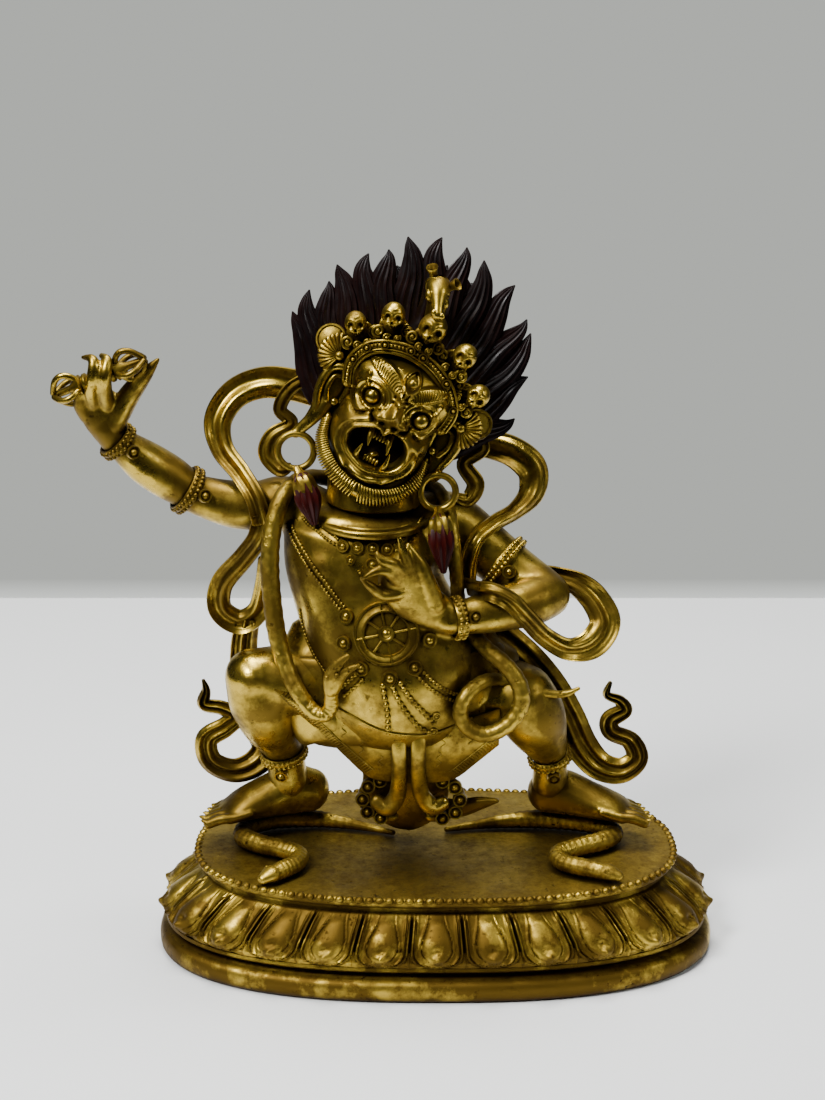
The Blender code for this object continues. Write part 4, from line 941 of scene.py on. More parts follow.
def hem(surface, start, end, inwards):
    """A hatched hem along the edge of the tiger skin."""
    start, end, inwards = (np.array(v, float) for v in (start, end, inwards))
    inwards = normalised(inwards)
    made = []
    count = int(np.linalg.norm(end - start) / 0.78)
    for i in range(count):
        at = start + (end - start) * (i + 0.5) / count
        path, _ = laid(surface, [at + inwards * reach for reach in (0.5, 1.1, 1.7, 2.2)], 0.02)
        if len(path) == 4:
            made.append(cord(path, 0.2, 6))
    inner_edge = [start + (end - start) * t + inwards * 2.6 for t in np.linspace(0, 1, 40)]
    inner, _ = laid(surface, inner_edge)
    return made + [cord(inner, 0.24, 6)]


def fur_mark(surface, x, z):
    """A wavy mark in the tiger's fur."""
    rows = [(x + 0.55 * math.sin(t * 1.9), z + 2.2 - t * 0.75) for t in np.linspace(0, 6, 14)]
    path, _ = laid(surface, rows, 0.0)
    return cord(path, 0.16, 6)


# The scarf: rows are x, y, z, half width, half depth and roll

SCARF = {
    "right_shoulder": [
        (-8, 16.4, 106.6, 3.4, 0.9, 0), (-18, 16.6, 109.4, 3.6, 0.9, 0), (-28, 15, 113.4, 3.8, 0.9, 0),
        (-36, 12, 116.6, 4, 0.9, 10), (-43, 9.8, 117.4, 3.8, 0.9, 20),
        (-49.4, 8, 114.8, 3.6, 0.9, 10), (-53.2, 6, 109, 3.4, 0.9, 0), (-52.2, 4, 102.4, 2.9, 0.9, -15),
        (-47.7, 0, 97.4, 2.5, 0.9, -10), (-43.9, -4.4, 92.6, 2.4, 0.9, 0), (-42, -5.4, 86.4, 2.6, 0.9, 0)],
    "right_elbow": [
        (-42, -5, 87, 2.6, 0.9, 0), (-43.4, -4.4, 82, 2.6, 0.9, 0), (-47.3, -1, 76, 2.6, 0.9, 15),
        (-53, 2, 68.6, 2.9, 0.9, 25), (-53.9, 4, 61.4, 3, 0.9, 0), (-49.4, 5, 57.6, 3.2, 0.9, 0),
        (-44.6, 4, 60.6, 2.8, 0.9, 0), (-42.4, 1, 68, 2.6, 0.9, 0), (-41.2, -3, 76, 2.4, 0.9, 0)],
    "right_fall": [
        (-47.2, 5, 58, 3, 0.9, 0), (-48.6, 8, 50, 3.4, 0.9, 0), (-48.6, 10, 40, 3.8, 0.9, 0),
        (-46.4, 9.6, 30, 4, 0.9, 0), (-43.4, 8.4, 23, 4, 0.9, 0), (-46.4, 7, 18.6, 3.8, 0.9, 0),
        (-52, 6, 17, 3.6, 0.9, 0), (-57.6, 5.4, 20, 3.2, 0.9, 0), (-58.4, 5, 26, 2.9, 0.9, 0),
        (-53.6, 5, 29.4, 2.6, 0.9, 0), (-50.8, 5, 32.4, 2.4, 0.9, 0), (-54.4, 5, 34.6, 2.2, 0.9, 0),
        (-58.8, 5, 35.6, 1.9, 0.9, 0), (-58.2, 5, 39.4, 1.2, 0.8, 0), (-58.8, 5, 42, 0.5, 0.5, 0)],
    "left_shoulder": [
        (-8, 16.4, 106.6, 3.4, 0.9, 0), (1, 16, 104, 3.4, 0.9, 0), (10, 13.4, 102, 3.4, 0.9, 0),
        (18.4, 11, 100.2, 3.8, 0.9, -15), (23.6, 9, 96, 4.2, 0.9, -20),
        (23.4, 7.6, 90.4, 3.4, 0.9, 0), (19.4, 4.6, 86.6, 2.3, 0.9, 10), (14.2, -0.4, 84.8, 2.1, 0.9, 15),
        (9.8, -4.2, 82, 2.2, 0.9, 0), (7.6, -4.8, 76, 2.4, 0.9, 0), (7.2, -4.6, 70, 2.4, 0.9, 0)],
    "left_elbow": [
        (7.2, -4.6, 70, 2.4, 0.9, 0), (9.6, -12.4, 71.4, 2.3, 0.9, 0), (13, -16.8, 72.2, 2.3, 0.9, 0),
        (17.4, -17.2, 70, 2.3, 0.9, 0), (21.8, -14.6, 64.6, 2.3, 0.9, 0), (26.3, -11, 59, 2.4, 0.9, 0),
        (32.2, -7, 54.6, 2.8, 0.9, 0), (38.2, -4.4, 55, 3.8, 0.9, 0), (41.6, -2, 59.6, 3.9, 0.9, 10),
        (39.2, 0, 65, 3.6, 0.9, 20), (34.8, 1, 68.8, 3.2, 0.9, 0), (29.6, 2.4, 70.2, 2.8, 0.9, 0),
        (24.4, 2.8, 71, 2.6, 0.9, 0)],
    "left_fall": [
        (7, 3, 62, 4, 0.9, 0), (16, 3.6, 54.6, 4.2, 0.9, 0), (23.4, 4, 47.8, 4.2, 0.9, 0),
        (29.3, 4.6, 40.2, 4.2, 0.9, 0), (33.8, 5.4, 32, 4.2, 0.9, 0), (37.4, 6, 24, 4.2, 0.9, 0),
        (42, 5.6, 18.6, 3.8, 0.9, 0), (47.6, 5, 17.4, 3.4, 0.9, 0), (51.6, 5, 20.8, 2.9, 0.9, 0),
        (49.8, 5, 25.6, 2.6, 0.9, 0), (45, 5, 28, 2.5, 0.9, 0), (44.4, 5, 31.4, 2.4, 0.9, 0),
        (48, 5, 34, 2, 0.9, 0), (46.6, 5, 36.6, 1.6, 0.9, 0), (43.4, 5, 38.2, 1.1, 0.8, 0),
        (44.2, 5, 41.4, 0.5, 0.5, 0)],
}

# The snake worn as a garland, from its head on the belly to its tail's tip
GARLAND_SNAKE = [
    (-25.2, -20.4, 50, 1.7), (-25.4, -19, 46.6, 1.7), (-25.6, -18.2, 43.6, 1.8), (-27.4, -17.6, 41.4, 1.9),
    (-30.5, -16.4, 42.6, 2), (-34.2, -14.4, 47.4, 2.1), (-37.1, -12, 53.7, 2.2), (-38.8, -10.8, 60.5, 2.3),
    (-39.8, -9.6, 68.6, 2.3), (-40.2, -8.6, 76.6, 2.3), (-39.6, -7.4, 84.1, 2.2), (-37.6, -5.4, 91.4, 2.1),
    (-34.2, 0, 95, 2), (-29.4, 7.4, 94.4, 2), (-22.6, 12.8, 91.4, 2), (-14.4, 13.8, 90.4, 2),
    (-6.4, 12.2, 91, 2), (-0.6, 6, 92, 1.9), (2.4, -2, 89.4, 1.8), (3.6, -7.6, 84.4, 1.7),
    (4.2, -9.4, 79, 1.7), (4.8, -9.6, 72.4, 1.7), (5.4, -9.4, 66.5, 1.8), (7.6, -9.6, 61.1, 1.9),
    (11.6, -12, 56.8, 2), (16.2, -14.4, 53.4, 2.1), (19.8, -15.6, 48.6, 2.1), (20.2, -16, 43.2, 2.1),
    (17, -16.4, 38.4, 2.1), (11.7, -16.6, 36, 2.1), (7.2, -17.2, 38.2, 2), (5.6, -17.6, 42.6, 1.9),
    (7.4, -17, 46.8, 1.8), (11.6, -13.6, 48.8, 1.7), (16.2, -9.8, 47.6, 1.5), (22.2, -9.6, 45.6, 1.3),
    (27, -10, 44.2, 1.1), (31.4, -10, 44, 0.9), (34.6, -10, 45.4, 0.5)]


SNAKE_JAWS = (
    [(-25.4, -20, 48.6, 1.7, 1.6), (-25.2, -21.4, 52.4, 1.8, 1.3), (-23.6, -22.6, 56.0, 1.4, 1.0),
     (-21.2, -23.2, 58.4, 0.7, 0.6)],
    [(-24.6, -20.4, 49.2, 1.5, 1.5), (-23.0, -22.0, 52.8, 1.3, 1.0), (-21.2, -23.0, 54.9, 1.0, 0.8),
     (-18.6, -23.6, 56.2, 0.5, 0.5)])
SNAKE_EYES = ((-26.2, -22.4, 52.8), (-23.8, -23.6, 53.8))


# The head, in its own axes: right of the face, forwards and up, from its centre

HEAD_CENTRE = Vector((-11.5, -2, 112))
HEAD_ROLL = 27
HEAD_RADII = (11.8, 12.6, 17.0)
NECK_RADIUS = 11.5
FACE_SIDES = 256
FACE_STACKS = 188
NECK_LOW = 88.4


def head_turn():
    """The roll of the head to its side."""
    roll = math.radians(HEAD_ROLL)
    return np.array([[math.cos(roll), 0, math.sin(roll)], [0, 1, 0], [-math.sin(roll), 0, math.cos(roll)]])


def head_point(right, forwards, up):
    """A place in the head's own directions, in figure millimetres."""
    return np.array(HEAD_CENTRE) + head_turn() @ np.array([right, -forwards, up])


def in_head(rows):
    """Rows whose first three numbers are in the head's own directions."""
    return [(*head_point(*row[:3]), *row[3:]) for row in rows]


def bump(r, u, at, size, height):
    """A round swelling on the face, in mm."""
    return height * np.exp(-(((r - at[0]) / size[0]) ** 2 + ((u - at[1]) / size[1]) ** 2))


def from_line(r, u, line):
    """The distance to a smooth line, and how far along it the nearest place is, from 0 to 1."""
    path = spline(line, 8)
    near = np.full(r.shape, 1e9)
    share = np.zeros(r.shape)
    for i, ((ax, ay), (bx, by)) in enumerate(zip(path, path[1:])):
        dx, dy = bx - ax, by - ay
        t = np.clip(((r - ax) * dx + (u - ay) * dy) / (dx * dx + dy * dy + 1e-9), 0, 1)
        gap = np.hypot(r - ax - t * dx, u - ay - t * dy)
        share = np.where(gap < near, (i + t) / (len(path) - 1), share)
        near = np.minimum(near, gap)
    return near, share


def crease(r, u, line, width, height):
    """A long swelling, or a furrow when height is negative, along a smooth line."""
    return height * ridge(from_line(r, u, line)[0], width)


def leaf(r, u, line, half, height):
    """A flat-topped pad along a smooth line. It reaches half to each side in its middle."""
    near, share = from_line(r, u, line)
    wide = half * (0.25 + 0.75 * np.sin(math.pi * np.clip(share, 0, 1)) ** 0.6)
    return height * (1 - soft_step(near / wide, 0.78, 1.08))


# Drawn on the face's front as right and up, going round the open mouth from its left corner
MOUTH_EDGE = [(-7.1, -6.3), (-6.3, -4.3), (-3.9, -2.7), (-1.7, -1.9), (0.1, -2.9), (1.4, -1.6), (3.7, -1.7),
              (5.9, -3.3), (6.9, -6.2), (5.8, -9.0), (3.3, -10.7), (-0.8, -11.3), (-4.1, -10.2), (-6.4, -8.4)]
EYES = ((-6.2, 10.3, 4.2, 1.75), (6.4, 10.3, 3.9, 1.8), (0.7, 12.5, 11.2, 1.15))
BROWS = ([(-0.6, 7.7), (-3.6, 9.9), (-6.8, 11.2), (-10.0, 11.9)],
         [(1.6, 7.3), (3.8, 9.3), (6.2, 10.6), (9.4, 11.9)])
BROW_HALF = 1.9
BROW_HEIGHT = 1.1


def inside_mouth(r, u):
    """The distance to the mouth's edge, which is positive inside it."""
    line = MOUTH_EDGE + MOUTH_EDGE[:1]
    path = spline(line, 8)
    within = np.zeros(r.shape, bool)
    for (ax, ay), (bx, by) in zip(path, path[1:]):
        crossed = (ay > u) != (by > u)
        at = ax + (bx - ax) * (u - ay) / (by - ay if abs(by - ay) > 1e-9 else 1e-9)
        within ^= crossed & (r < at)
    return np.where(within, 1, -1) * from_line(r, u, line)[0]


def face_relief(r, u):
    """How far the face stands out over its egg shape, in mm."""
    out = np.zeros(r.shape)
    for side, brow in zip((-1, 1), BROWS):
        out += bump(r, u, (6.4 * side, 3.9), (3.6, 3.0), -1.9)
        out += leaf(r, u, brow, BROW_HALF, BROW_HEIGHT)
        ring = np.hypot((r - 6.3 * side) / 1.08, u - 4.1)
        out += 1.15 * ridge(ring - 2.55, 0.42) + 0.5 * ridge(ring - 3.75, 0.40)
        out += crease(r, u, [(8.1 * side, 6.0), (8.9 * side, 7.2), (9.2 * side, 8.6)], 0.40, 1.0)
        out += crease(r, u, [(4.4 * side, 2.6), (3.4 * side, 2.9), (2.7 * side, 3.4)], 0.40, 0.9)
        out += crease(r, u, [(3.2 * side, -0.2), (5.4 * side, 0.4), (8.4 * side, -0.9), (11.6 * side, 1.4)],
                      0.45, -1.1)
        out += (bump(r, u, (7.6 * side, 0.2), (3.0, 1.2), 0.8)
                + bump(r, u, (8.8 * side, -2.6), (2.8, 2.0), 1.5))
        out += crease(r, u, [(4.8 * side, -0.6), (8.0 * side, -2.9), (9.9 * side, -6.4), (8.8 * side, -10.6),
                             (5.0 * side, -13.6)], 0.8, 1.1)
        out += bump(r, u, (3.0 * side, 1.1), (1.5, 1.2), 2.7)
        out += bump(r, u, (1.6 * side, 0.0), (0.6, 0.5), -1.3)
        out += crease(r, u, [(4.5 * side, 2.3), (4.7 * side, 0.6), (3.6 * side, -0.5)], 0.35, -0.9)
        out += bump(r, u, (10.4 * side, 9.0), (2.6, 4.0), 0.5)
    out += bump(r, u, (0, 2.1), (2.0, 1.7), 3.7)
    out += crease(r, u, [(0.1, 8.2), (0.1, 5.6), (0, 3.6)], 1.25, 2.0)
    out += crease(r, u, [(-1.4, 5.4), (0, 4.8), (1.4, 5.4)], 0.3, -0.7)
    out += crease(r, u, [(-1.5, 6.7), (0, 6.2), (1.5, 6.7)], 0.3, -0.7)
    out += crease(r, u, [(-1.2, 9.2), (-0.2, 7.8), (1.2, 7.3)], 0.35, -0.6)
    out += bump(r, u, (0.6, -14.2), (3.4, 1.6), 1.1)
    third = np.abs((r - 0.7) / 1.9) ** 1.6 + np.abs((u - 11.2) / 2.6) ** 1.6
    out += 0.95 * ridge(third - 1, 0.25) - 0.5 * (third < 0.9)
    edge = inside_mouth(r, u)
    out += 1.15 * ridge(edge + 0.7, 0.6) - 0.35 * ridge(edge + 1.8, 0.4) * (u < -2.5)
    return out - 9.0 * soft_step(edge, -0.2, 0.3)


def face_shell(sides, stacks):
    """The egg of the head with the face carved in its front."""
    turn = np.arange(sides) * math.tau / sides
    # Steps are closer together at the front, where the face is
    turn = turn - 0.62 * np.sin(turn)
    lean = (np.arange(1, stacks) / stacks - 0.5) * math.pi
    c, s = np.cos(lean)[:, None], np.sin(lean)[:, None]
    way = np.stack([c * np.sin(turn), c * np.cos(turn), s + 0 * turn], 2)
    brow, jaw, chin = soft_step(s, 0, 0.7), soft_step(-s, 0, 0.7), soft_step(-s, 0.68, 0.97)
    cheeks = 1 + 0.10 * np.abs(way[..., 0]) * (1 - way[..., 0] ** 2)
    wide = cheeks * (1 + 0.38 * brow + 0.20 * jaw + 0.32 * chin)
    egg = way * np.array(HEAD_RADII)
    egg[..., 0] *= wide
    egg[..., 1] *= 1 + 0.16 * brow + 0.14 * jaw + 0.60 * chin
    r, u = egg[..., 0], egg[..., 2]
    front = soft_step(way[..., 1], 0.05, 0.42)
    push = face_relief(r, u) * front
    ahead = normalised(way * np.array([0.35, 0, 0.25]) + np.array([0, 1, 0]))
    egg = egg + ahead * push[..., None]
    points = np.stack([egg[..., 0], -egg[..., 1], egg[..., 2]], 2)
    rings = points @ head_turn().T + np.array(HEAD_CENTRE)
    return skin(rings)


def face_surface(shell):
    """The face as a surface to lay hairs on, in its own axes."""
    points, groups = shell
    local = (points - np.array(HEAD_CENTRE)) @ head_turn()
    faces = [face for group in groups for face in group.tolist()]
    return BVHTree.FromPolygons(local.tolist(), faces)


def on_face(surface, right, up, lift):
    """The place on the face at right and up, a little above it."""
    hit, _, _, _ = surface.ray_cast(Vector((right, -60, up)), Vector((0, 1, 0)))
    return (right, (-hit.y if hit else 0) + lift, up)


# The beard's fringe: its inner edge's right and up, its outer edge's, and how far forwards it is
FRINGE = [
    (-12.3, -6.0, -13.6, -7.0, 3.4), (-11.4, -9.6, -13.0, -11.3, 5.6), (-8.6, -12.9, -9.9, -15.4, 8.2),
    (-3.9, -15.3, -3.9, -18.4, 10.2), (2.6, -16.0, 3.4, -19.2, 10.4), (8.4, -13.9, 10.1, -16.3, 8.4),
    (11.6, -9.3, 13.6, -10.7, 5.4), (11.9, -5.6, 13.4, -5.9, 3.4)]
FRINGE_HAIRS = 66


def fringe():
    """A raised band round the jaw, combed into short hairs."""
    path = spline(FRINGE, 10)
    inner, outer, ahead = path[:, 0:2], path[:, 2:4], path[:, 4]
    middle = (inner + outer) / 2
    half = np.linalg.norm(outer - inner, axis=1) / 2
    rows = [(m[0], f - 1.4, m[1], h * 1.12, 1.9) for m, f, h in zip(middle, ahead, half)]
    made = [sweep(in_head(rows), circle(20), 1, cap=3)]
    want = np.linspace(0, len(path) - 1, FRINGE_HAIRS)
    for i, at in enumerate(want):
        a, b = (np.array([np.interp(w, np.arange(len(path)), path[:, k]) for k in range(5)])
                for w in (at, at + (1.0 if i > FRINGE_HAIRS / 2 else -1.0)))
        m = (a[0:2] + b[2:4]) / 2
        made.append(sweep(in_head([(a[0], a[4] + 0.35, a[1], 0.22), (m[0], a[4] + 0.72, m[1], 0.33),
                                   (b[2] * 1.03, b[4] + 0.1, b[3] * 1.03, 0.24)]), circle(8), 3, cap=1))
    return made


def brow_hairs(surface):
    """Short curved hairs combed outwards across the brows."""
    made = []
    for side, brow in zip((-1, 1), BROWS):
        path = spline(brow, 12)
        run = normalised(np.gradient(path, axis=0))
        for i in range(15):
            at = 3 + i * (len(path) - 7) / 14
            spot = np.array([np.interp(at, np.arange(len(path)), path[:, k]) for k in range(2)])
            along = run[int(at)]
            across = np.array([-along[1], along[0]]) * side
            reach = BROW_HALF * 0.72 * math.sin(math.pi * (0.12 + 0.76 * i / 14)) ** 0.6
            rows = []
            for share, shift, wide in ((-1, -0.3, 0.10), (-0.3, 0.1, 0.19), (0.4, 0.3, 0.19), (1, 0.1, 0.10)):
                place = spot + across * reach * share + along * shift
                rows.append((*on_face(surface, *place, 0.08), wide))
            made.append(sweep(in_head(rows), circle(6), 3, cap=1))
    return made


def mouth_parts():
    """Fangs and teeth, above and below, and a curled tongue."""
    made = []
    for at, low in ((-2.9, -6.4), (2.0, -6.6)):
        fang = [(at, 10.4, -2.2, 0.75), (at + 0.3, 11.4, -4.4, 0.62), (at + 0.8, 11.6, low, 0.16)]
        made.append(sweep(in_head(fang), circle(10), 4))
    for at, high in ((-3.4, -6.9), (3.6, -6.4)):
        fang = [(at, 9.6, -10.8, 0.8), (at * 1.05, 10.6, -9.0, 0.62), (at * 0.98, 11.2, high, 0.16)]
        made.append(sweep(in_head(fang), circle(10), 4))
    for i in range(5):
        at = -1.6 + i * 0.8
        made.append(ball(head_point(at, 9.8, -3.9), (0.4, 0.45, 1.0), 10, 8, head_turn()))
        made.append(ball(head_point(at + 0.2, 9.2, -9.9), (0.4, 0.45, 0.8), 10, 8, head_turn()))
    tongue = [(0.3, 4.5, -9.6, 1.7, 1.0), (0.3, 7.6, -9.2, 1.6, 0.8), (0.4, 9.2, -8.2, 1.1, 0.6)]
    made.append(sweep(in_head(tongue), circle(16), 5, facing=(0, 0, 1)))
    return made


def mouth_dark():
    """A near-black ball set inside the open mouth as painted shade."""
    return ball(head_point(0, 6.4, -6.4), (7.4, 1.2, 5.2), 40, 20, head_turn())


EARS = ((-14.9, 0.8), (14.5, 0.6))
HOOPS = (((-33.7, -5, 103.8), 4.3), ((0.2, -7, 94.2), 4.2))
HOOP_WIRE = 0.85


def ear(spot, hoop_top, side):
    """A long ear: a bowl inside a rolled edge, with a lobe drawn down to its hoop."""
    right, up = spot
    lobe = (hoop_top[0], hoop_top[1] + 0.6, hoop_top[2])
    end = head_point(right + 1.0 * side, 3.0, up - 8.6)
    bowl = [(right + 0.1 * side, 1.2, up + 4.0, 2.4, 1.3), (right + 0.2 * side, 1.6, up, 3.0, 1.3),
            (right + 0.4 * side, 2.0, up - 4.6, 2.0, 1.4)]
    rim = [(right - 2.9 * side, 3.0, up - 2.6, 0.6), (right - 3.2 * side, 3.6, up + 1.0, 0.75),
           (right - 2.5 * side, 3.9, up + 4.0, 0.9), (right - 0.2 * side, 4.0, up + 5.4, 1.0),
           (right + 2.3 * side, 3.8, up + 4.0, 1.0), (right + 3.2 * side, 3.6, up + 0.6, 1.0),
           (right + 2.8 * side, 3.5, up - 3.2, 0.95), (right + 1.9 * side, 3.4, up - 6.2, 0.95)]
    rim = in_head(rim) + [(*(0.45 * end + 0.55 * np.array(lobe)), 1.1), (*lobe, 1.3)]
    inner = in_head([(right - 0.9 * side, 3.2, up + 3.0, 0.4), (right + 0.9 * side, 3.5, up + 2.4, 0.6),
                     (right + 1.3 * side, 3.6, up - 0.8, 0.65), (right + 0.2 * side, 3.5, up - 3.6, 0.75)])
    fall = [(*head_point(right + 0.1 * side, 2.2, up - 3.4), 2.2, 1.3), (*end, 1.7, 1.2), (*lobe, 1.25, 1.1)]
    return [sweep(in_head(bowl), circle(24), 6), sweep(rim, circle(14), 6), sweep(inner, circle(10), 5),
            sweep(fall, circle(18), 6),
            ball(head_point(right - 1.7 * side, 3.5, up - 3.2), (0.95, 0.9, 0.95), 14, 10)]


def head_piece(sides, stacks):
    """The face on its neck, with its eyes, mouth, ears, fringe and brows."""
    neck = sweep([(-15.4, 0.5, NECK_LOW + NECK_RADIUS * 0.15, NECK_RADIUS, NECK_RADIUS * 0.95),
                  (-14.6, 0.4, 106, NECK_RADIUS * 0.95, NECK_RADIUS * 0.8)], circle(64), 8, blunt=0.15)
    face = face_shell(sides, stacks)
    surface = face_surface(face)
    parts = [face, neck]
    for r, f, u, size in EYES:
        parts.append(ball(head_point(r, f, u), (size, size * 0.85, size), 24, 16, head_turn()))
    for (centre, radius), spot, side in zip(HOOPS, EARS, (-1, 1)):
        parts += ear(spot, (centre[0], centre[1], centre[2] + radius), side)
    return united("head_carved", parts + fringe() + brow_hairs(surface) + mouth_parts())


# The crown: its skulls and ribbon fans as right and up, and the band round the hairline

SKULL_CROWN = ((-17.1, 16.9, 2.7), (-10.3, 22.8, 2.9), (-0.9, 24.3, 3.5), (8.7, 21.7, 3.0), (15.9, 14.5, 2.9))
FANS = ((-19.4, 9.0), (18.6, 6.4))
CROWN_BAND = [(-12.6, 3.6, 4.6), (-13.9, 8.0, 5.4), (-12.6, 12.6, 6.6), (-8.9, 15.7, 7.6), (-3.0, 17.2, 8.2),
              (3.4, 16.2, 8.0), (9.0, 13.0, 7.0), (12.4, 8.2, 5.8), (12.2, 3.2, 4.6)]
BAND_BOSSES = (0.16, 0.27, 0.38, 0.50, 0.57, 0.72, 0.86)
CROWN_RIBBONS = (
    [(-29.6, 0.6, 121, 1.4, 0.9, 0), (-35, 1, 117.8, 1.7, 0.9, 0), (-37.7, 1, 112.8, 1.7, 0.9, 0),
     (-35, 1, 109.4, 1.7, 0.9, 0), (-39.6, 1, 106.2, 2, 0.9, 0), (-41, 1, 101.8, 2.2, 0.9, 0),
     (-38, 0, 98.2, 1.9, 0.9, 0), (-35.4, -2.4, 99.4, 1.2, 0.8, 0)],
    [(9, 2, 107, 1.6, 0.9, 0), (11, 1.4, 103, 1.8, 0.9, 0), (6.6, 1, 99.4, 1.9, 0.9, 0),
     (9.4, 0.6, 94.4, 2.2, 0.9, 0), (7.6, 0.4, 90.6, 2, 0.9, 0), (4.6, -1, 91.6, 1.2, 0.8, 0)])


def skull(right, up, size):
    """A small skull: deep eyes, a nose hole, teeth and a narrow jaw."""
    forwards = 9.6 - 0.012 * right * right
    lean = math.atan2(right, up) * 0.6

    def carve(unit):
        r, u, ahead = unit[..., 0], unit[..., 2], -unit[..., 1]
        front = soft_step(ahead, 0.05, 0.4)
        cut = sum(bump(r, u, (0.40 * s, 0.06), (0.25, 0.27), -0.50) for s in (-1, 1))
        rims = sum(0.10 * ridge(np.hypot((r - 0.40 * s) / 0.36, (u - 0.06) / 0.38) - 1, 0.25)
                   for s in (-1, 1))
        cut = cut + rims
        cut = cut + bump(r, u, (0, -0.32), (0.10, 0.16), -0.34)
        brow = [(-0.8, 0.46), (-0.4, 0.60), (0, 0.46), (0.4, 0.60), (0.8, 0.46)]
        furrow = [(-0.7, 0.66), (-0.3, 0.78), (0, 0.70), (0.3, 0.78), (0.7, 0.66)]
        cut = cut + crease(r, u, brow, 0.07, 0.10) + crease(r, u, furrow, 0.06, 0.08)
        teeth = 0.12 * np.cos(r * 24) * ridge(u + 0.62, 0.14) + 0.06 * ridge(u + 0.5, 0.08)
        jaw = -0.36 * soft_step(-u, 0.2, 0.85) * np.abs(r) * 1.6
        return np.stack([jaw * np.sign(r) * size, -(cut + teeth) * front * size * 0.9, 0 * r], 2)

    nod = np.array(Matrix.Rotation(math.radians(14), 3, "X"))
    turn = head_turn() @ np.array(Matrix.Rotation(lean, 3, "Y")) @ nod
    return ball(head_point(right, forwards, up), (size * 0.95, size * 0.95, size * 1.1), 56, 44, turn, carve)


def scroll(centre, radius, hand, start, wire=0.42):
    """A curl of wire that winds inwards to a bead, on the crown."""
    right, forwards, up = centre
    rows = []
    for k in range(17):
        share = k / 16
        a = math.radians(start) + hand * share * math.tau * 1.45
        reach = radius * (1 - 0.80 * share)
        rows.append((right + reach * math.cos(a), forwards + 0.5 * share, up + reach * math.sin(a),
                     wire * (1 - 0.25 * share)))
    back = (radius * 0.9, 0.7, radius * 0.9)
    return [sweep(in_head(rows), circle(8), 3, cap=2),
            ball(head_point(right, forwards - 0.6, up), back, 24, 10, head_turn()),
            ball(head_point(right, forwards + 0.4, up), (0.42, 0.42, 0.42), 10, 8)]


def fan(right, up, side):
    """A ribbon bow over the ear: a smooth round lobe behind a pleated fan."""
    root = (right - 2.4 * side, 3.2, up - 0.8)
    lobe = head_point(right + 0.9 * side, 2.6, up + 1.4)
    profile = [(3.7, -0.6), (3.8, 0.3), (3.6, 0.7), (3.3, 0.7), (3.0, 0.3), (1.8, 0.5), (0.02, 0.9)]
    made = [turned(profile, lobe, head_turn() @ square_to((0.25 * side, -1, 0.15)), 36)]
    folds = 11
    for i in range(folds):
        a = math.radians(-70 + 140 * i / (folds - 1)) + (math.pi if side < 0 else 0)
        tip = (root[0] + 4.7 * math.cos(a), 3.9, root[2] + 4.7 * math.sin(a))
        middle = (0.5 * (root[0] + tip[0]), 4.5, 0.5 * (root[2] + tip[2]))
        pleat = [(*root, 0.3, 0.9), (*middle, 0.42, 1.0), (*tip, 0.62, 0.7)]
        made.append(sweep(in_head(pleat), circle(8), 3, cap=2))
    made.append(ball(head_point(root[0], 4.8, root[2]), (1.15, 1.0, 1.15), 16, 10, head_turn()))
    return made


def crest_animal():
    """The small animal's head on top of the crown, with flared ears."""
    neck_to_nose = [
        (-1, 2, 25.5, 2.4), (-2.6, 5.5, 30.4, 2.4), (-4.0, 7.8, 33.2, 2.9), (-3.5, 10.0, 32.4, 2.5),
        (-2.9, 11.4, 31.0, 1.8), (-2.2, 12.6, 29.4, 1.3), (-1.8, 13.0, 28.4, 1.5)]
    made = [sweep(in_head(neck_to_nose), circle(32), 6)]
    for side in (-1, 1):
        root = head_point(-3.9 + 1.2 * side, 7.6, 33.6 - 0.3 * side)
        tip = head_point(-4.0 + 2.9 * side, 9.0, 35.7 - 0.4 * side)
        cup = [(0.95, -2.4), (1.0, -0.8), (1.15, 0.1), (1.45, 0.9), (1.4, 1.15), (1.0, 0.7), (0.6, -0.2),
               (0.02, -0.5)]
        made.append(turned(cup, tip, square_to(tip - root), 20))
        made.append(ball(head_point(-3.4 + 1.5 * side, 11.3, 31.9), (0.62, 0.6, 0.62), 14, 10))
        made.append(hoop(head_point(-3.4 + 1.5 * side, 11.3, 31.9), 0.85, 0.2,
                         head_turn() @ np.array(Matrix.Rotation(0.5 * side, 3, "Z")), 8, 24))
        made.append(ball(head_point(-1.7 + 0.95 * side, 13.9, 28.4), (0.75, 0.6, 0.75), 14, 10))
        made.append(ball(head_point(-3.2 + 1.9 * side, 10.2, 31.0), (1.1, 1.2, 1.5), 16, 12))
        made.append(sweep(in_head([(-3.5 + 2.4 * side, 9.8, 33.0, 0.3), (-3.4 + 1.5 * side, 11.2, 33.3, 0.36),
                                   (-3.2 + 0.3 * side, 12.1, 32.4, 0.25)]), circle(8), 4))
    for ahead, up, radius in ((7.9, 33.5, 2.75), (6.9, 33.0, 2.7)):
        made.append(hoop(head_point(-4.1, ahead, up), radius, 0.34,
                         head_turn() @ np.array(Matrix.Rotation(0.9, 3, "X")), 10, 40))
    return made


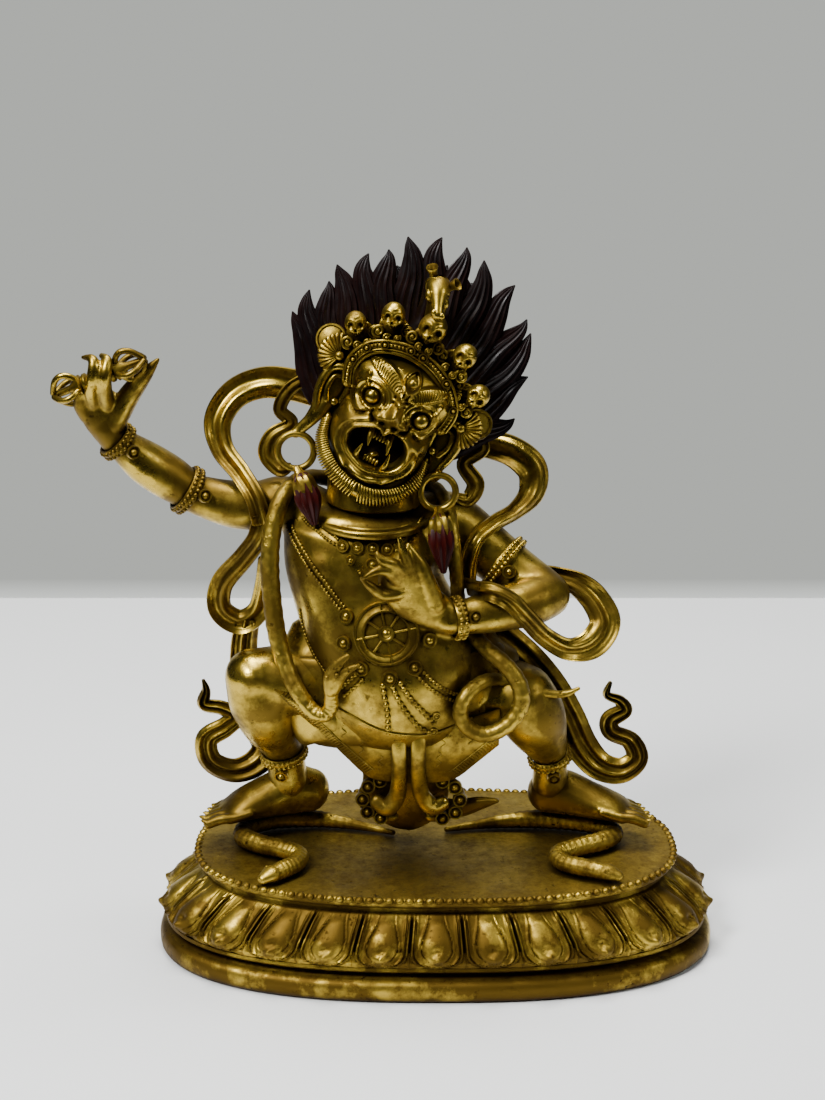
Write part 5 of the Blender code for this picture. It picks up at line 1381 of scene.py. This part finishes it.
def crown_piece():
    """The band with its beads, skulls, plumes and curls, the crest, fans, ribbons and ear hoops."""
    path = spline(CROWN_BAND, 8)
    outwards = normalised(path[:, [0, 2, 1]] * (1, 0, 1) - (0, 0, 2))[:, [0, 2]]

    def strip(out, wide, deep, ahead):
        """A strip that runs beside the band, further out by a distance."""
        return in_head([(p[0] + way[0] * out, p[2] + ahead, p[1] + way[1] * out, wide, deep)
                        for p, way in zip(path, outwards)])

    parts = [sweep(strip(0, 1.5, 1.6, -0.3), circle(14), 1, cap=3),
             sweep(strip(-1.45, 0.6, 0.8, 0.4), circle(12), 1, cap=3),
             sweep(strip(1.2, 0.35, 0.45, 1.1), circle(10), 1, cap=3),
             sweep(strip(-0.75, 0.22, 0.3, 1.25), circle(8), 1, cap=2)]
    lace = np.array([row[:3] for row in strip(0.25, 0, 0, 1.35)])
    parts.append(beads(lace, 0.42, 0.08))
    way = head_turn() @ np.array([0, -1, 0.12])
    for share in BAND_BOSSES:
        at = int(share * (len(path) - 1))
        parts.append(rosette(lace[at], way, 1.05, 0.95))
    for right, up, size in SKULL_CROWN:
        ahead = 9.6 - 0.012 * right * right
        plume = [(right * 0.64, 2.6, up * 0.70, 4.4, 1.2), (right * 0.82, ahead - 3.0, up * 0.84, 3.9, 1.1),
                 (right * 0.94, ahead - 2.6, up * 0.94, 2.9, 1.0), (right, ahead - 3.0, up, 1.6, 0.8)]
        parts.append(sweep(in_head(plume), fluted(40, 12, 0.14), 5))
        parts.append(skull(right, up, size))
        for side in (-1, 1):
            turn = math.atan2(right, up)
            across, down = side * math.cos(turn), side * math.sin(turn)
            spot = (right * 0.84 + 3.3 * across, ahead - 0.9, up * 0.84 - 3.3 * down + 0.2)
            parts += scroll(spot, 1.55, side, 90 - 90 * side + 120)
            low = (right * 0.80 + 1.2 * across, ahead + 0.2, up * 0.79 - 1.2 * down)
            parts += scroll(low, 0.9, -side, 60, 0.3)
    parts += crest_animal()
    for (right, up), side in zip(FANS, (-1, 1)):
        parts += fan(right, up, side)
    parts += [sweep(ribbon, band_section(2, 0.5, 14), 8, blunt=0.8) for ribbon in CROWN_RIBBONS]
    parts += [hoop(centre, radius, HOOP_WIRE, np.eye(3)) for centre, radius in HOOPS]
    return united("crown", parts)


# The ear tassels: a gilt cap over a ribbed red bulb

TASSELS = (
    [(-33.4, -6.4, 99.8, 1.2), (-31.9, -8.6, 97.2, 2.3), (-30.6, -9.4, 92.8, 3.2), (-29.4, -9.6, 87.6, 1.0)],
    [(0.2, -9, 90.6, 1.2), (0.5, -11.8, 88, 2.2), (1, -13.2, 83.4, 3.1), (1.5, -13.6, 76.6, 0.8)])


def tassel_caps():
    made = []
    for rows in TASSELS:
        top, shoulder = np.array(rows[0][:3]), np.array(rows[1][:3])
        low = shoulder + (np.array(rows[2][:3]) - shoulder) * 0.35
        made.append(sweep([(*top, 0.9), (*(top * 0.5 + shoulder * 0.5), 1.5), (*shoulder, 2.7), (*low, 3.0)],
                          fluted(28, 7, 0.22), 6))
    return united("tassel_caps", made)


# The flaming hair

HAIR_TIPS = [(-33.3, 136.5), (-30.4, 141.2), (-26.5, 143), (-22.5, 147.3), (-16.4, 149.7), (-12.4, 150.6),
             (-5.8, 153.5), (0.8, 153.5), (6, 151.4), (12, 147.6), (18.1, 142.4), (20.6, 134.8),
             (23, 130), (21.6, 120.6), (18.4, 111)]
HAIR_FAN = (-112, 104)
# Each layer of locks: how far back its tips are, their reach, a lock's half width, how far from the
# scalp's middle its roots are, how far back they are, and every which tip it has a lock for
HAIR_LAYERS = ((2.0, 1.0, 3.3, 12, 0.8, 1), (5.2, 0.86, 3.5, 12, 2.1, 1), (8.4, 0.84, 3.5, 12, 3.4, 1),
               (12.2, 0.76, 3.6, 12, 4.9, 1), (14.4, 0.60, 4.6, 6, 9.5, 2), (15.0, 0.38, 4.4, 1, 11.5, 2))
# A lock's width along it, as (share of the way from root to tip, share of its layer's width)
LOCK_SHAPE = ((0, 1.1), (0.2, 1.3), (0.4, 1.22), (0.6, 1.0), (0.78, 0.70), (0.9, 0.40), (0.99, 0.08))


def hair_lock(tip, root_angle, layer, phase):
    """One flame of hair from the scalp to its tip, bowed outwards, with a flicker near its end."""
    back, reach, wide, scalp, root_back, _ = layer
    a = math.radians(root_angle)
    root = head_point(math.sin(a) * scalp, -2, math.cos(a) * scalp * 1.3)
    root[1] += root_back
    middle = np.array(HEAD_CENTRE)
    end = middle + (np.array([tip[0], 0, tip[1]]) - middle) * reach
    end[1] = back
    bow = head_point(math.sin(a), 0, math.cos(a)) - middle
    run = end - root
    length = np.linalg.norm(run)
    aside = np.cross(run / length, (0, 1, 0))
    rows = []
    for share, breadth in LOCK_SHAPE:
        spot = root + run * share + bow * length * 0.30 * share * (1 - share)
        spot = spot + aside * math.sin(share * 7.5 + phase) * 1.2 * share
        rows.append((*spot, wide * breadth, (wide * 0.75 * breadth + 0.1)))
    return sweep(rows, combed(56, 14, 0.19), 4, cap=2)


def hair_piece():
    last = len(HAIR_TIPS) - 1
    core = ball(head_point(0, -6.5, 10), (21, 7.5, 24), 48, 32, head_turn())
    parts = [core]
    for number, layer in enumerate(HAIR_LAYERS):
        for i in range(0, last + 1 - number % 2, layer[-1]):
            share = 0.5 * (number % 2)
            before, after = HAIR_TIPS[i], HAIR_TIPS[min(i + 1, last)]
            tip = [b + (c - b) * share for b, c in zip(before, after)]
            place = (i + share) / last
            angle = HAIR_FAN[0] + (HAIR_FAN[1] - HAIR_FAN[0]) * place
            parts.append(hair_lock(tip, angle, layer, i * 2.1 + number))
    return united("hair", parts)


# The add-on


# The table's near and far edges and half its width, the wall's distance, and the heights over
# which the painted glow at the wall's foot fades
TABLE = (-0.13, 0.284, 0.34)
WALL_Y = 0.9
WALL_FOOT_GLOW_FADE = (-0.196, -0.180)
# Each light's name, place, width and power, and where they all point
LIGHTS = (("key", (-0.40, -0.40, 0.70), 0.22, 10.0),
          ("fill", (0.60, -0.30, 0.50), 0.16, 1.4),
          ("ceiling", (0.0, 0.08, 1.0), 0.42, 15.0))
LIGHTS_POINT_AT = (0, 0, 0.09)
ROOM_COLOUR = (0.78, 0.82, 0.86, 1)
ROOM_GLOW = 0.03
# The camera's place, how far it looks down in degrees, and its lens
CAMERA_PLACE = (-0.0059, -0.4234, 0.225)
CAMERA_TILT = 16.1
CAMERA_LENS = 58.9


def sheet(name, profile, half):
    """A stage surface: a profile of y and z in metres, drawn out from -half to half in x."""
    mesh = bpy.data.meshes.new(name)
    points = [(x, y, z) for y, z in profile for x in (-half, half)]
    mesh.from_pydata(points, [], [(2 * i, 2 * i + 1, 2 * i + 3, 2 * i + 2) for i in range(len(profile) - 1)])
    made = bpy.data.objects.new(name, mesh)
    bpy.context.scene.collection.objects.link(made)
    return made


class StatueSettings(bpy.types.PropertyGroup):
    petals: bpy.props.IntProperty(
        name="Petals", description="Lotus petals round the base", default=26, min=8)
    bead_pitch: bpy.props.FloatProperty(
        name="Bead pitch", description="Distance between the beads on the plate's edge", default=0.0024,
        unit="LENGTH")
    skin_grain: bpy.props.FloatProperty(
        name="Skin grain", description="Size of the voxels that the body's skin is made with",
        default=0.0007, unit="LENGTH")
    gold: bpy.props.FloatVectorProperty(
        name="Gold", description="Colour of the gilding", default=(0.46, 0.315, 0.040), subtype="COLOR")
    film: bpy.props.FloatVectorProperty(
        name="Film", description="Colour of the brown film over the gilding", default=(0.070, 0.036, 0.006),
        subtype="COLOR")
    # The colour of the patina and stains, which the painted shade in the recesses and creases darkens towards
    # as well
    patina_stain_and_shade: bpy.props.FloatVectorProperty(
        name="Patina", description="Colour of the dark in the recesses", default=(0.022, 0.009, 0.002),
        subtype="COLOR")
    hair: bpy.props.FloatVectorProperty(
        name="Hair", description="Colour of the painted hair", default=(0.0045, 0.0022, 0.0022),
        subtype="COLOR")
    tassel: bpy.props.FloatVectorProperty(
        name="Tassels", description="Colour of the painted tassels", default=(0.024, 0.0012, 0.0010),
        subtype="COLOR")
    floor: bpy.props.FloatVectorProperty(
        name="Table", description="Colour of the studio's table", default=(0.80, 0.81, 0.80),
        subtype="COLOR")
    # Painted light: the glow of the wall's foot, brighter than the wall above it
    wall_foot_glow: bpy.props.FloatVectorProperty(
        name="Wall's foot", description="Glow of the studio's wall at its foot", default=(0.92, 0.95, 0.91),
        subtype="COLOR")
    wall: bpy.props.FloatVectorProperty(
        name="Wall", description="Glow of the studio's wall", default=(0.515, 0.53, 0.50), subtype="COLOR")


def settings():
    return bpy.context.scene.statue


def gilding(name, **looks):
    """The gilt finish in the colours of the panel."""
    colours = settings()
    return gilt(name, tuple(colours.gold), tuple(colours.film), tuple(colours.patina_stain_and_shade), **looks)


def body_finish():
    """The body's gilding, which the pieces cast with it share."""
    return bpy.data.materials["body_finish"]


class STATUE_OT_lotus_base(bpy.types.Operator):
    """Carves the lotus base and sets the beads on its rim"""

    bl_idname = "statue.lotus_base"
    bl_label = "Lotus base"

    def execute(self, context):
        looks = gilding("base_finish", worn=0.9, stain=0.9, roughness=0.27, pits=0.4, flat_dirt=0.72)
        core = united("lotus_core", [lotus_core(CORE_STEPS), rim_beads(settings().bead_pitch / MM)])
        finish_piece(core, "lotus_base", looks)
        petals = add_mesh("lotus_petals", lotus_petals(settings().petals, PETAL_STEPS, PETAL_ROWS))
        finish_piece(petals, "lotus_base", looks)
        return {"FINISHED"}


class STATUE_OT_foot_snakes(bpy.types.Operator):
    """Lays the two snakes that the deity treads on"""

    bl_idname = "statue.foot_snakes"
    bl_label = "Foot snakes"

    def execute(self, context):
        looks = gilding("snake_finish", worn=0.8, stain=1.0, roughness=0.34, pits=0.8)
        for node, rows in FOOT_SNAKES.items():
            finish_piece(united(node + "_carved", foot_snake(rows)), node, looks)
        return {"FINISHED"}


class STATUE_OT_body(bpy.types.Operator):
    """Models the torso, limbs, hands and feet"""

    bl_idname = "statue.body"
    bl_label = "Body"

    def execute(self, context):
        looks = gilding("body_finish", stain=0.7)
        body = body_piece(settings().skin_grain / MM)
        finish_piece(body, "figure", looks)
        finish_piece(united("thunderbolt", vajra()), "figure", looks)
        return {"FINISHED"}


class STATUE_OT_tiger_skin(bpy.types.Operator):
    """Wraps the tiger skin round the hips"""

    bl_idname = "statue.tiger_skin"
    bl_label = "Tiger skin"

    def execute(self, context):
        parts = [sweep(SKIRT, circle(80), 6), apron()]
        parts += [sweep(leg, circle(18), 6) for leg in TIGER_LEGS]
        parts.append(sweep(TIGER_TAIL, fluted(24, 6, 0.12), 8))
        for tuft in PAW_TUFTS:
            parts.append(sweep([(x, -5.4, z, 1.4) for x, z in tuft], circle(14), 5))
            parts += [rosette((x, -6.6, z), (0, -1, 0.15), 1.85, 1.3) for x, z in tuft[1:-1]]
        finish_piece(united("tiger_skin", parts), "figure", body_finish())
        return {"FINISHED"}


class STATUE_OT_scarf(bpy.types.Operator):
    """Flings the scarf round the shoulders and arms, down to its curled ends"""

    bl_idname = "statue.scarf"
    bl_label = "Scarf"

    def execute(self, context):
        folds = {"right_fall": 2.5, "left_fall": 2.5}
        parts = [sweep(rows, band_section(folds.get(name, 1.5)), 9, blunt=0.8)
                 for name, rows in SCARF.items()]
        finish_piece(united("scarf", parts), "figure", body_finish())
        return {"FINISHED"}


class STATUE_OT_jewellery(bpy.types.Operator):
    """Lays the strands, bosses, wheel, collar and limb bands on the body"""

    bl_idname = "statue.jewellery"
    bl_label = "Jewellery"

    def execute(self, context):
        surface = surface_of("body", "tiger_skin")
        torso = torso_surface()
        parts = wheel(torso)
        for radius, spots in STRANDS:
            parts += strand(torso, spots, radius)
        parts += [boss(torso, *spot) for spot in BOSSES]
        for band in BANDS:
            parts += limb_band(*band)
        centre, radius, direction = COLLAR
        turn = square_to(direction)
        for out, wire in ((0, (1.5, 0.9)), (1.35, (0.5, 0.95)), (-1.2, (0.5, 1.1))):
            parts.append(hoop(centre, radius + out, wire, turn, 12, 96))
        edge, _ = laid(surface, spline(BELLY_EDGE, 5), 0.0)
        parts.append(cord(edge, 0.45))
        finish_piece(united("jewellery", parts), "figure", body_finish())
        fur = surface_of("tiger_skin")
        marks = [mark for line in HEMS for mark in hem(fur, *line)]
        marks += [fur_mark(fur, x, z) for x, z in FUR_MARKS]
        finish_piece(united("fur_and_hems", marks), "figure", body_finish())
        return {"FINISHED"}


class STATUE_OT_garland_snake(bpy.types.Operator):
    """Hangs the long snake round the neck and across the belly"""

    bl_idname = "statue.garland_snake"
    bl_label = "Garland snake"

    def execute(self, context):
        looks = gilding("garland_finish", worn=0.6, stain=1.0, roughness=0.3, pits=0.9)
        parts = [sweep(GARLAND_SNAKE, fluted(24, 8, 0.06), 10, wave=scales)]
        parts += [sweep(jaw, circle(18), 6) for jaw in SNAKE_JAWS]
        parts += [ball(eye, (0.6, 0.6, 0.6), 12, 8) for eye in SNAKE_EYES]
        finish_piece(united("garland_snake", parts), "figure", looks)
        return {"FINISHED"}


class STATUE_OT_head(bpy.types.Operator):
    """Carves the face, ears and neck"""

    bl_idname = "statue.head"
    bl_label = "Head"

    def execute(self, context):
        looks = gilding("head_finish", worn=0.42, stain=0.35)
        finish_piece(head_piece(FACE_SIDES, FACE_STACKS), "head", looks)
        return {"FINISHED"}


class STATUE_OT_crown(bpy.types.Operator):
    """Sets the skull crown, its ribbons, the ear hoops and the tassels' caps"""

    bl_idname = "statue.crown"
    bl_label = "Crown"

    def execute(self, context):
        looks = gilding("crown_finish", worn=0.6, stain=0.6, roughness=0.25, pits=0.4)
        finish_piece(crown_piece(), "head", looks)
        finish_piece(tassel_caps(), "head", looks)
        return {"FINISHED"}


class STATUE_OT_painted(bpy.types.Operator):
    """Raises the painted hair and hangs the red tassels"""

    bl_idname = "statue.painted"
    bl_label = "Hair and tassels"

    def execute(self, context):
        dark = pigment("hair_finish", tuple(settings().hair), (0.016, 0.005, 0.004), 0.34)
        finish_piece(hair_piece(), "head", dark)
        # Painted shade in the open mouth: a near-black ball in the hair's paint
        finish_piece(add_mesh("mouth_dark", mouth_dark()), "head", dark)
        red = pigment("tassel_finish", tuple(settings().tassel), (0.055, 0.006, 0.004), 0.40)
        bulbs = [sweep([rows[1], rows[2], rows[3]], fluted(40, 10, 0.22), 8) for rows in TASSELS]
        for name, bulb in zip(("right_tassel", "left_tassel"), bulbs):
            finish_piece(united(name, [bulb]), "head", red)
        return {"FINISHED"}


class STATUE_OT_stage(bpy.types.Operator):
    """Sets the floor, the lights and the camera of the photograph"""

    bl_idname = "statue.stage"
    bl_label = "Stage"

    def execute(self, context):
        scene = context.scene
        # A small table, with a wall well behind it that glows with painted light, so that the figure can be
        # seen from all sides
        near, far, half = TABLE
        floor = sheet("floor", [(near, 0), (far, 0), (far + 0.004, -0.001), (far + 0.006, -0.02)], half)
        floor.data.materials.append(table_top("table", tuple(settings().floor)))
        wall = sheet("wall", [(WALL_Y, -0.4), (WALL_Y, 1.2)], 0.8)
        wall.data.materials.append(lit_wall("wall", tuple(settings().wall_foot_glow), tuple(settings().wall), *WALL_FOOT_GLOW_FADE))
        for name, place, size, power in LIGHTS:
            light = bpy.data.objects.new(name, bpy.data.lights.new(name, "AREA"))
            light.data.size = size
            light.data.energy = power
            light.location = place
            aim = Vector(LIGHTS_POINT_AT) - light.location
            light.rotation_euler = aim.to_track_quat("-Z", "Y").to_euler()
            scene.collection.objects.link(light)
        world = bpy.data.worlds.new("studio")
        scene.world = world
        world.use_nodes = True
        world.node_tree.nodes["Background"].inputs["Color"].default_value = ROOM_COLOUR
        world.node_tree.nodes["Background"].inputs["Strength"].default_value = ROOM_GLOW
        camera = bpy.data.objects.new("camera", bpy.data.cameras.new("camera"))
        scene.collection.objects.link(camera)
        camera.location = CAMERA_PLACE
        camera.rotation_euler = (math.radians(90 - CAMERA_TILT), 0, 0)
        camera.data.lens = CAMERA_LENS
        camera.data.clip_start = 0.01
        scene.camera = camera
        return {"FINISHED"}


STEPS = (STATUE_OT_lotus_base, STATUE_OT_foot_snakes, STATUE_OT_body, STATUE_OT_tiger_skin,
         STATUE_OT_jewellery, STATUE_OT_scarf,
         STATUE_OT_garland_snake, STATUE_OT_head, STATUE_OT_crown, STATUE_OT_painted, STATUE_OT_stage)


class STATUE_PT_panel(bpy.types.Panel):
    """Lists the statue's sizes, colours and steps"""

    bl_label = "Statue"
    bl_idname = "STATUE_PT_panel"
    bl_space_type = "VIEW_3D"
    bl_region_type = "UI"
    bl_category = "Statue"

    def draw(self, context):
        for name in StatueSettings.__annotations__:
            self.layout.prop(context.scene.statue, name)
        for step in STEPS:
            self.layout.operator(step.bl_idname)


CLASSES = (StatueSettings, *STEPS, STATUE_PT_panel)


def register():
    for cls in CLASSES:
        bpy.utils.register_class(cls)
    bpy.types.Scene.statue = bpy.props.PointerProperty(type=StatueSettings)


def unregister():
    del bpy.types.Scene.statue
    for cls in reversed(CLASSES):
        bpy.utils.unregister_class(cls)


def main():
    for name in ("Cube", "Light", "Camera"):
        left_over = bpy.data.objects.get(name)
        if left_over:
            bpy.data.objects.remove(left_over)
    register()
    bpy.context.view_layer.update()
    bpy.ops.statue.lotus_base()
    bpy.ops.statue.foot_snakes()
    bpy.ops.statue.body()
    bpy.ops.statue.tiger_skin()
    bpy.ops.statue.jewellery()
    bpy.ops.statue.scarf()
    bpy.ops.statue.garland_snake()
    bpy.ops.statue.head()
    bpy.ops.statue.crown()
    bpy.ops.statue.painted()
    bpy.ops.statue.stage()


if __name__ == "__main__":
    main()
